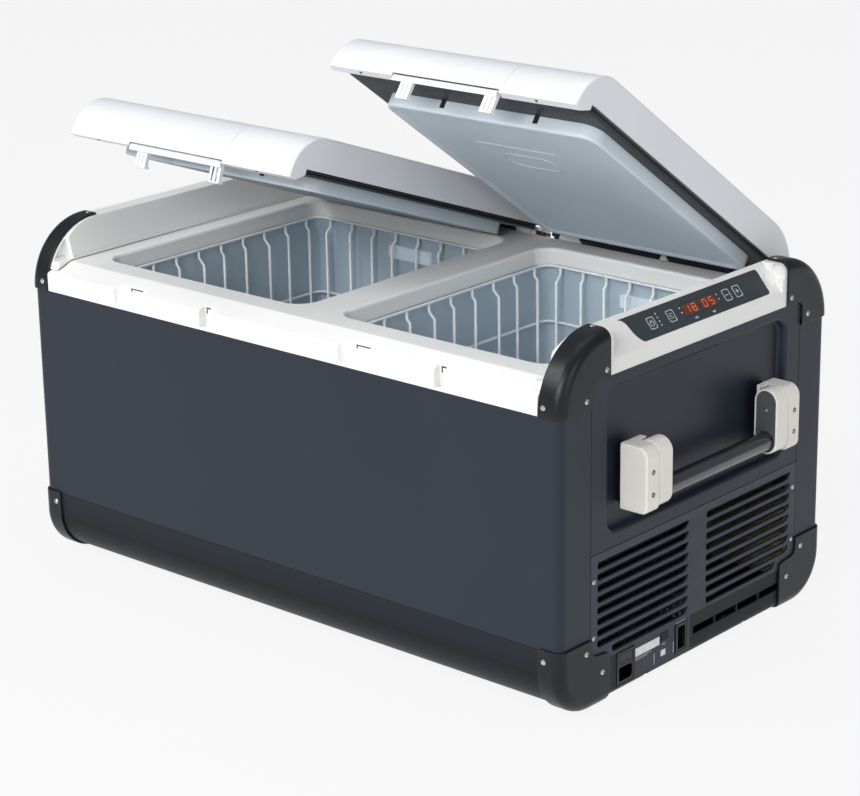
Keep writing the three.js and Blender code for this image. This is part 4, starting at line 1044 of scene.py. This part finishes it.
def make_lid_shell(side):
    """The lid's hollow moulding with its latch mouth, front seam and hinge knuckles, and dark discs painted
    as the shade of the lip screw holes.
    """
    lid = LIDS[side]
    x0, x1 = lid["x0"], lid["x1"]
    rear_wall = GASKET_REAR + 4

    def section(grow):
        return lid_crown(-grow, REAR_BOTTOM) + [
            LIP_CORNER, (-LIP_INNER_Y, REAR_BOTTOM), (-LIP_INNER_Y, SIDE_BOTTOM), (rear_wall, SIDE_BOTTOM),
            (rear_wall, REAR_BOTTOM)]

    profile = eased(x0, x1, 2.6, 4)
    half = len(profile) // 2
    beside_latch = [(lid["latch"][0] - 6, 0), (lid["latch"][0] - 2.5, 0), (lid["latch"][1] + 4.5, 0),
                    (lid["latch"][1] + 8, 0)]
    outer = stacked(section, "X", profile[:half] + beside_latch + profile[half:])
    inside = [(y, z) for y, z in lid_crown(LID_WALL, HOLLOW_BOTTOM) if z > LIP_Z + 5]
    lip_inside = [(-LIP_INNER_Y - 16, LIP_Z + 4), (-LIP_INNER_Y, HOLLOW_BOTTOM)]
    hollow = prism(inside + lip_inside, "X", x0 + LID_WALL, x1 - LID_WALL)
    latch0, latch1 = lid["latch"][0] - 1, lid["latch"][1] + 1
    mouth = box(latch0, latch1, -FAR, -261, LATCH_BOTTOM - 4, LATCH_TOP + 0.6)
    room = box(latch0, latch1, -262, -254, LATCH_BOTTOM - 4, LATCH_TOP + 2)
    seam = cut(prism(lid_crown(-1, REAR_BOTTOM) + [(0, REAR_BOTTOM)], "X", latch1 + 2, latch1 + 2.9),
               prism(lid_crown(0.45, REAR_BOTTOM) + [(0, REAR_BOTTOM - 1)], "X", latch1, latch1 + 5))
    seam = meet(seam, box(latch1, latch1 + 5, -FAR, -206, 300, FAR))
    shell = cut(outer, hollow, mouth, room, seam)
    for k0, k1 in knuckle_spans(lid):
        knuckle = rounded(HINGE_Y - 6, HINGE_Y + 5.5, HINGE_Z - 6, REAR_BOTTOM + 4, 5)
        shell = join(shell, prism(knuckle, "X", k0, k1))
    round_ear = circle(HINGE_Y, HINGE_Z, 11, 24)
    shell = cut(shell, *[prism(round_ear, "X", s0 - 0.5, s1 + 0.5) for s0, s1 in support_spans(lid)])
    on_lid(shell, side, "lid_moulding", LID, "lid_shell", bevel=0, pierced=True)
    # the lip screw holes are dark discs: painted shade, not cut holes
    lip_normal = (0, LIP_Z - LIP_CORNER[1], LIP_CORNER[0] + LID_FRONT)
    holes = [facing((x, *LIP_SCREW), [-n for n in lip_normal], (1, 0, 0)) for x in (x0 + 48, x1 - 58)]
    dots = scattered(lathe([(0, 0.5), (1.9, 0.5), (1.9, -0.6), (0, -0.6)], (0, 0, 0), (0, 0, 1), 16), holes)
    on_lid(dots, side, "lip_screw_hole_shade", HOLE_SHADE, bevel=0)


def make_plug(side):
    """The lid's inner pan: soft lower edge, a border round a sunk field, low marks, and two dark marks
    painted as the shade of two slots.
    """
    lid = LIDS[side]
    bottom, flange_top, clearance = 384, 413, 5
    profile = [(bottom, -clearance - 3.2), (bottom + 0.6, -clearance - 1.6), (bottom + 2, -clearance - 0.4),
               (bottom + 4, -clearance), (flange_top - 1, -clearance)]
    block = opening_solid(lid["opening"], profile)
    x0, x1 = lid["x0"] + LID_WALL + GAP, lid["x1"] - LID_WALL - GAP
    flange = box(x0, x1, -LIP_INNER_Y + GAP, GASKET_REAR, SIDE_BOTTOM, flange_top)
    hollow = prism(opening_outline(lid["opening"], -clearance - 6), "Z", bottom + 6, FAR)
    sunk = [(bottom - 1, -9), (bottom, -9), (bottom + 0.6, -9.6), (bottom + 1.6, -12), (bottom + 2.4, -15)]
    field = opening_solid(lid["opening"], sunk, -clearance)
    plug = cut(join(block, flange), hollow, field)
    middle = (x0 + x1) / 2
    oval = cut(prism(rounded(middle - 40, middle + 40, -88, -52, 17.9, 8), "Z", bottom + 1.7, bottom + 3),
               prism(rounded(middle - 38.6, middle + 38.6, -86.6, -53.4, 16.5, 8), "Z", bottom, bottom + 4))
    bar = box(middle - 60, middle + 60, -112, -110.6, bottom + 1.7, bottom + 3)
    plug = join(plug, oval, bar)
    on_lid(plug, side, "lid_pan", LID_LINER, "lid_plug", bevel=0.5, angle=35)
    # two dark boxes on the pan's front wall: painted shade in place of two slots
    front = -OPENING_HALF_DEPTH + clearance
    slots = merged(box(middle - 62, middle - 55, front - 0.4, front + 1, 391, 404),
                   box(middle + 77, middle + 84, front - 0.4, front + 1, 391, 404))
    on_lid(slots, side, "pan_slot_shade", HOLE_SHADE, bevel=0)


def make_hinge_flap(side):
    """A dark flap on the lid that closes the trough behind the gasket."""
    lid = LIDS[side]
    flap = box(lid["x0"] + 5, lid["x1"] - 5, 239, 261.5, 395.5, 400.6)
    below, above = 390, 405
    gaps = [(s0 - 1, s1 + 1) for s0, s1 in support_spans(lid)]
    gaps += [(k0 - 0.4, k1 + 0.4) for k0, k1 in knuckle_spans(lid)]
    tools = [box(g0, g1, HINGE_Y - 20, HINGE_Y + 20, below, above) for g0, g1 in gaps]
    tools.append(box(-FAR, FAR, HINGE_Y - 3.6, HINGE_Y + 3.6, below, 399.4))
    on_lid(cut(flap, *tools), side, "hinge_flap", RUBBER, bevel=0, pierced=True)


def make_latch(side):
    """The latch bar with its two ribbed hooks."""
    x0, x1 = LIDS[side]["latch"]
    front, rear = LATCH_FRONT, LATCH_REAR

    def section(grow):
        g = -grow
        return [(-front + g, LATCH_BOTTOM + g), (-front + g, LATCH_TOP - 2.5),
                (-front + 1.6, LATCH_TOP - 0.9), (-front + 4, LATCH_TOP - g), (-rear - g, LATCH_TOP - g),
                (-rear - g, LATCH_BOTTOM + 3.6), (-rear - 3.5, LATCH_BOTTOM + 1 + g)]

    bar = stacked(section, "X", eased(x0, x1, 0.9))
    grooves = []
    hook_front, tip, root = -262.3, HOOK_BOTTOM, LATCH_TOP - 4
    hook = [(hook_front, root), (hook_front, tip + 1), (hook_front + 0.9, tip), (-rear + 2.6, tip + 0.2),
            (-rear + 3.4, tip + 1), (-rear, tip + 5), (-rear, root)]
    for h0, h1 in hook_spans(x0, x1):
        bar = join(bar, prism(hook, "X", h0, h1))
        for x in (h0 + 5, h1 - 6.4):
            grooves.append(box(x, x + 1.8, -FAR, hook_front + 1.5, tip + 2.5, 388.8))
    bar = cut(bar, *grooves)
    on_lid(bar, side, "latch_bar", LID, "latch_lever", "latch", bevel=0.5)


def make_gasket(side):
    """A bellows gasket: two soft beads one above the other."""
    lid = LIDS[side]

    def ring(grow):
        return rounded(lid["x0"] + 3.4 - grow, lid["x1"] - 3.4 + grow, -LIP_INNER_Y + 2.7 - grow,
                       GASKET_REAR - 2.4 + grow, 8 + grow, 5)

    beads = [(400.5, -2.5), (401.2, 0.6), (402.6, 2), (403.8, 1.4), (404.4, -0.8), (405, 1.4), (406.3, 2.3),
             (407.4, 1.2), (408, -1.5)]
    gasket = cut(stacked(ring, "Z", beads),
                 prism(opening_outline(lid["opening"], GAP - 5), "Z", 399, 410))
    on_lid(gasket, side, "lid_seal", RUBBER, "lid_gasket", bevel=0)


# ---- compartments ----
def make_liners():
    for name, (_, _, floor) in OPENINGS.items():
        outer = prism(opening_outline(name, 2.5), "Z", floor - 2.5, UNDERSIDE - GAP)
        soft_floor = [(floor, -10), (floor + 1.4, -5.5), (floor + 5.5, -1.4), (floor + 10, 0), (FAR, 0)]
        liner = cut(outer, opening_solid(name, soft_floor))
        finished(liner, f"{name}_liner_moulding", LINER, [f"{name}_liner"], bevel=0.4, angle=40)


BASKET_TOP = 380.5
BASKET_GAP = 8.5
WIRE_THICKNESS = 3.8


def basket_ring(name, z, grow=0.0):
    return [(x, y, z) for x, y in opening_outline(name, grow - BASKET_GAP, 6)]


def make_baskets():
    """Coated wire baskets: rings, uprights that kink outward under the top ring, and a bottom grid."""
    for name, (x0, x1, floor) in OPENINGS.items():
        bottom = floor + 8
        depth = BASKET_TOP - bottom
        shares = (0, 0.33, 0.66, 0.985) if depth > 200 else (0, 0.5, 0.975)
        levels = [BASKET_TOP - 1.5 - depth * share for share in shares]
        paths = [(basket_ring(name, z, -2.5 if i else 0), True) for i, z in enumerate(levels)]
        inner_x0, inner_x1 = x0 + BASKET_GAP, x1 - BASKET_GAP
        inner_y = OPENING_HALF_DEPTH - BASKET_GAP
        along = spaced(inner_x0 + 24, inner_x1 - 24, 40)
        across = spaced(-inner_y + 24, inner_y - 24, 42)
        for i, x in enumerate(along):
            paths.append((bent_wire([(x, -inner_y, 1), (x, inner_y, -1)], bottom, "y", i), False))
        for i, y in enumerate(across):
            paths.append((bent_wire([(inner_x0, y, 1), (inner_x1, y, -1)], bottom, "x", i), False))
        piece = wires(f"{name}_basket_wires", paths, WIRE_THICKNESS)
        piece.data.materials.append(WIRE)
        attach(piece, "root")
        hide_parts(f"{name}_basket")


def spaced(start, end, wanted):
    count = max(2, round((end - start) / wanted))
    return [start + (end - start) * i / count for i in range(count + 1)]


def bent_wire(ends, bottom, way, index):
    """One wire down a wall, across the floor and up the other wall, stepping outward near its ends."""
    kink = 5 if index % 3 else 9
    path = []
    for x, y, inward in ends:
        rise = [(0, BASKET_TOP - 1.5), (0, BASKET_TOP - 12), (kink, BASKET_TOP - 12 - kink),
                (kink, bottom + 8), (kink + 5, bottom + 2)]
        leg = [((x + inward * step, y, z) if way == "x" else (x, y + inward * step, z)) for step, z in rise]
        path += leg if inward > 0 else list(reversed(leg))
    return path


# ---- carrying handles ----
HANDLE_FRONT = corners("right_handle_bracket_front")[1].x
ARM_X = HANDLE_FRONT - ARM_RADIUS
BRACKET_OUTER_Y = -corners("right_handle_bracket_front")[0].y
BRACKET_LOW = 230.5
BRACKET_HIGH = 310.5
PLACES = {"rear": False, "front": True}


def bracket_outline(grow):
    front, low, high = HANDLE_FRONT + grow, BRACKET_LOW - grow, BRACKET_HIGH + grow
    return ([(PANEL_FACE, low)] + arc(front - 9, low + 9, 9, -90, 0, 7)
            + arc(front - 14, high - 14, 14, 0, 80, 9) + [(PANEL_FACE, high)])


def arm_outline(grow):
    radius = ARM_RADIUS + grow
    return arc(ARM_X, ARM_TOP_Z, radius, 0, 180, 18) + arc(ARM_X, ARM_BOTTOM_Z, radius, 180, 360, 18)


def arm_slab(profile):
    return stacked(arm_outline, "Y", profile)


def tube_hole():
    hole = circle(ARM_X, ARM_BOTTOM_Z, TUBE_RADIUS + GAP, 36)
    return prism(hole, "Y", ARM_INNER_Y - 2, ARM_INNER_Y + 12)


def make_handle_sources():
    """One bracket, its foot (dark as painted shade in the handle recess), one arm and the arm's dark cover,
    drawn at the right end towards the rear.
    """
    inner, seam, outer, panel = ARM_INNER_Y, BLOCK_SEAM_Y, BRACKET_OUTER_Y, PANEL_FACE
    rounded_end = [(seam + 0.5, -0.7), (seam + 1.2, 0), (outer - 2.6, 0), (outer - 1, -0.7),
                   (outer - 0.2, -1.7), (outer, -2.8)]
    block = stacked(bracket_outline, "Y", rounded_end)
    # the foot gets the dark socket plastic as painted shade where the bracket sits deep in the recess
    foot = box(panel - RECESS["depth"] + GAP, panel - 0.1, seam + 3, outer - 8, BRACKET_LOW + 5,
               BRACKET_HIGH - 5)
    plate_y = 116
    plate = box(panel, ARM_X - ARM_RADIUS - 0.4, plate_y, seam + 1, BRACKET_LOW, BRACKET_HIGH)
    hood = box(panel, panel + 9, plate_y, seam + 1, BRACKET_HIGH - 2.2, BRACKET_HIGH)
    bracket = join(block, plate, hood)

    arm = arm_slab([(inner, -1.1), (inner + 0.4, -0.4), (inner + 1.2, 0), (seam - 0.7, 0), (seam, -0.7)])
    arm = cut(arm, arm_slab([(inner - 2, -2.4), (inner + 1.6, -2.4)]), tube_hole())

    cover = arm_slab([(inner + 0.7, -2.7), (inner + 1.6, -2.7)])
    border = cut(arm_slab([(inner + 0.2, -3.6), (inner + 1, -3.4)]),
                 arm_slab([(inner - 1, -4.8), (inner + 2, -4.8)]))
    round_wells = [(0, ARM_SCREW_Z, 2.2), (-12.6, 257, 1.3), (12.6, 257, 1.3)]
    wells = [prism(circle(ARM_X + x, z, radius, 12), "Y", inner - 2, inner + 1.4)
             for x, z, radius in round_wells]
    cover = cut(join(cover, border), tube_hole(), *wells)
    return {"bracket": (bracket, HANDLE, 0.6), "bracket_foot": (foot, DARK_PART, 0.5),
            "arm": (arm, HANDLE, 0.4), "arm_cover": (cover, HANDLE_DARK, 0.2)}


def make_handles():
    sources = make_handle_sources()
    for side in ("right", "left"):
        flip_x = side == "left"
        for place, flip_y in PLACES.items():
            for kind, (source, finish, bevel) in sources.items():
                body = "root" if kind.startswith("bracket") else f"{side}_handle"
                nodes = [f"{side}_handle_{kind}_{place}"] if kind in ("bracket", "arm") else ()
                finished(copy_of(source, flip_x, flip_y), f"{side}_{kind}_{place}_block", finish, nodes, body,
                         bevel)
        arm_x = -ARM_X if flip_x else ARM_X
        spots = [facing((arm_x, end * (ARM_INNER_Y + 0.9), ARM_SCREW_Z), (0, -end, 0)) for end in (-1, 1)]
        finished(scattered(screw_head(1.9), spots), f"{side}_arm_screws", STEEL, body=f"{side}_handle",
                 bevel=0)
        reach = ARM_INNER_Y + 11.5
        tube = lathe([(0, 0), (TUBE_RADIUS, 0), (TUBE_RADIUS, 2 * reach), (0, 2 * reach)],
                     (arm_x, -reach, ARM_BOTTOM_Z), (0, 1, 0), 48)
        finished(tube, f"{side}_grip_tube", TUBE, [f"{side}_handle_tube"], f"{side}_handle", bevel=0)
    for source, _, _ in sources.values():
        bpy.data.objects.remove(source)


# ---- screws ----
def screw_head(radius):
    """A domed steel head with a star recess, looking along +Z from its seat."""
    dome = [(0, radius * 0.42), (radius * 0.45, radius * 0.38), (radius * 0.8, radius * 0.24), (radius, 0),
            (radius, -0.8), (0, -0.8)]
    head = lathe(dome, (0, 0, 0), (0, 0, 1), 24)
    points, valleys = circle(0, 0, radius * 0.5, 12), circle(0, 0, radius * 0.34, 12)
    star = [valleys[i] if i % 2 else points[i] for i in range(12)]
    return cut(head, prism(star, "Z", 0.1, 5))


def mirrored_places(spot, outward):
    """The spot on all four corners of the body."""
    x, y, z = spot
    a, b, c = outward
    return [facing((sx * x, sy * y, z), (sx * a, sy * b, c), (0, 0, 1) if abs(c) < 0.9 else (0, 1, 0))
            for sx in (-1, 1) for sy in (-1, 1)]


def make_screws():
    corner_screws = {
        "cap_screws": [((412.5, HALF_DEPTH, RIM_BOTTOM + 12), (0, 1, 0)),
                       ((HALF_LENGTH, CAP_INNER_Y + 8, 404), (1, 0, 0)),
                       ((HALF_LENGTH, END_SEAM_Y + 12, RIM_BOTTOM + 12), (1, 0, 0)),
                       ((414, CAP_INNER_Y + 5, HEIGHT - 0.2), (0, 0, 1))],
        "guard_screws": [((412.5, HALF_DEPTH, GUARD_TOP - 14), (0, 1, 0)),
                         ((HALF_LENGTH, END_SEAM_Y + 11, GUARD_TOP - 14), (1, 0, 0)),
                         ((HALF_LENGTH, GUARD_INNER_Y + 15, 42), (1, 0, 0))],
    }
    for name, spots in corner_screws.items():
        places = [place for spot, outward in spots for place in mirrored_places(spot, outward)]
        finished(scattered(screw_head(3.4), places), name, STEEL, bevel=0)
    grille = [facing((PANEL_FACE, y, z), (1, 0, 0)) for y in (-200, 200) for z in (156, 87)]
    finished(scattered(screw_head(3.0), grille), "grille_screws", STEEL, bevel=0)
    bracket = [facing((sx * HANDLE_FRONT, sy * 141, z), (sx, 0, 0)) for sx in (-1, 1) for sy in (-1, 1)
               for z in (280, 253)]
    finished(scattered(screw_head(1.7), bracket), "bracket_screws", STEEL, bevel=0)
    # dark discs round the bracket screws: painted shade of the recesses they sit in
    well = lathe([(0, 0.15), (3.1, 0.15), (3.1, -0.5), (0, -0.5)], (0, 0, 0), (0, 0, 1))
    finished(scattered(well, bracket), "bracket_screw_well_shade", DARK_PART, bevel=0)


# ---- the build ----
make_camera()
make_floor()
make_lights()
make_corners()
make_casings()
make_end_panels()
make_grille()
make_socket_details()
make_base_tray()
make_top_rim()
make_housings()
make_control_face()
for lid_side in LIDS:
    make_lid_shell(lid_side)
    make_plug(lid_side)
    make_latch(lid_side)
    make_gasket(lid_side)
    make_hinge_flap(lid_side)
make_liners()
make_baskets()
make_handles()
make_screws()

KEPT = {
    DARK_PART: ["ac_inlet", "dc_socket", "fuse_drawer", "left_hinge_pin", "right_hinge_pin"],
    TRAY: ["fan_frame", "fan_rotor"],
    FOAM: ["insulation"],
    IRON: ["compressor"],
    ALUMINIUM: ["large_evaporator", "small_evaporator", "condenser"],
    BOARD: ["power_module"],
    LENS: ["large_interior_light", "small_interior_light"],
}
for finish, nodes in KEPT.items():
    for node in nodes:
        dressed(node, finish)
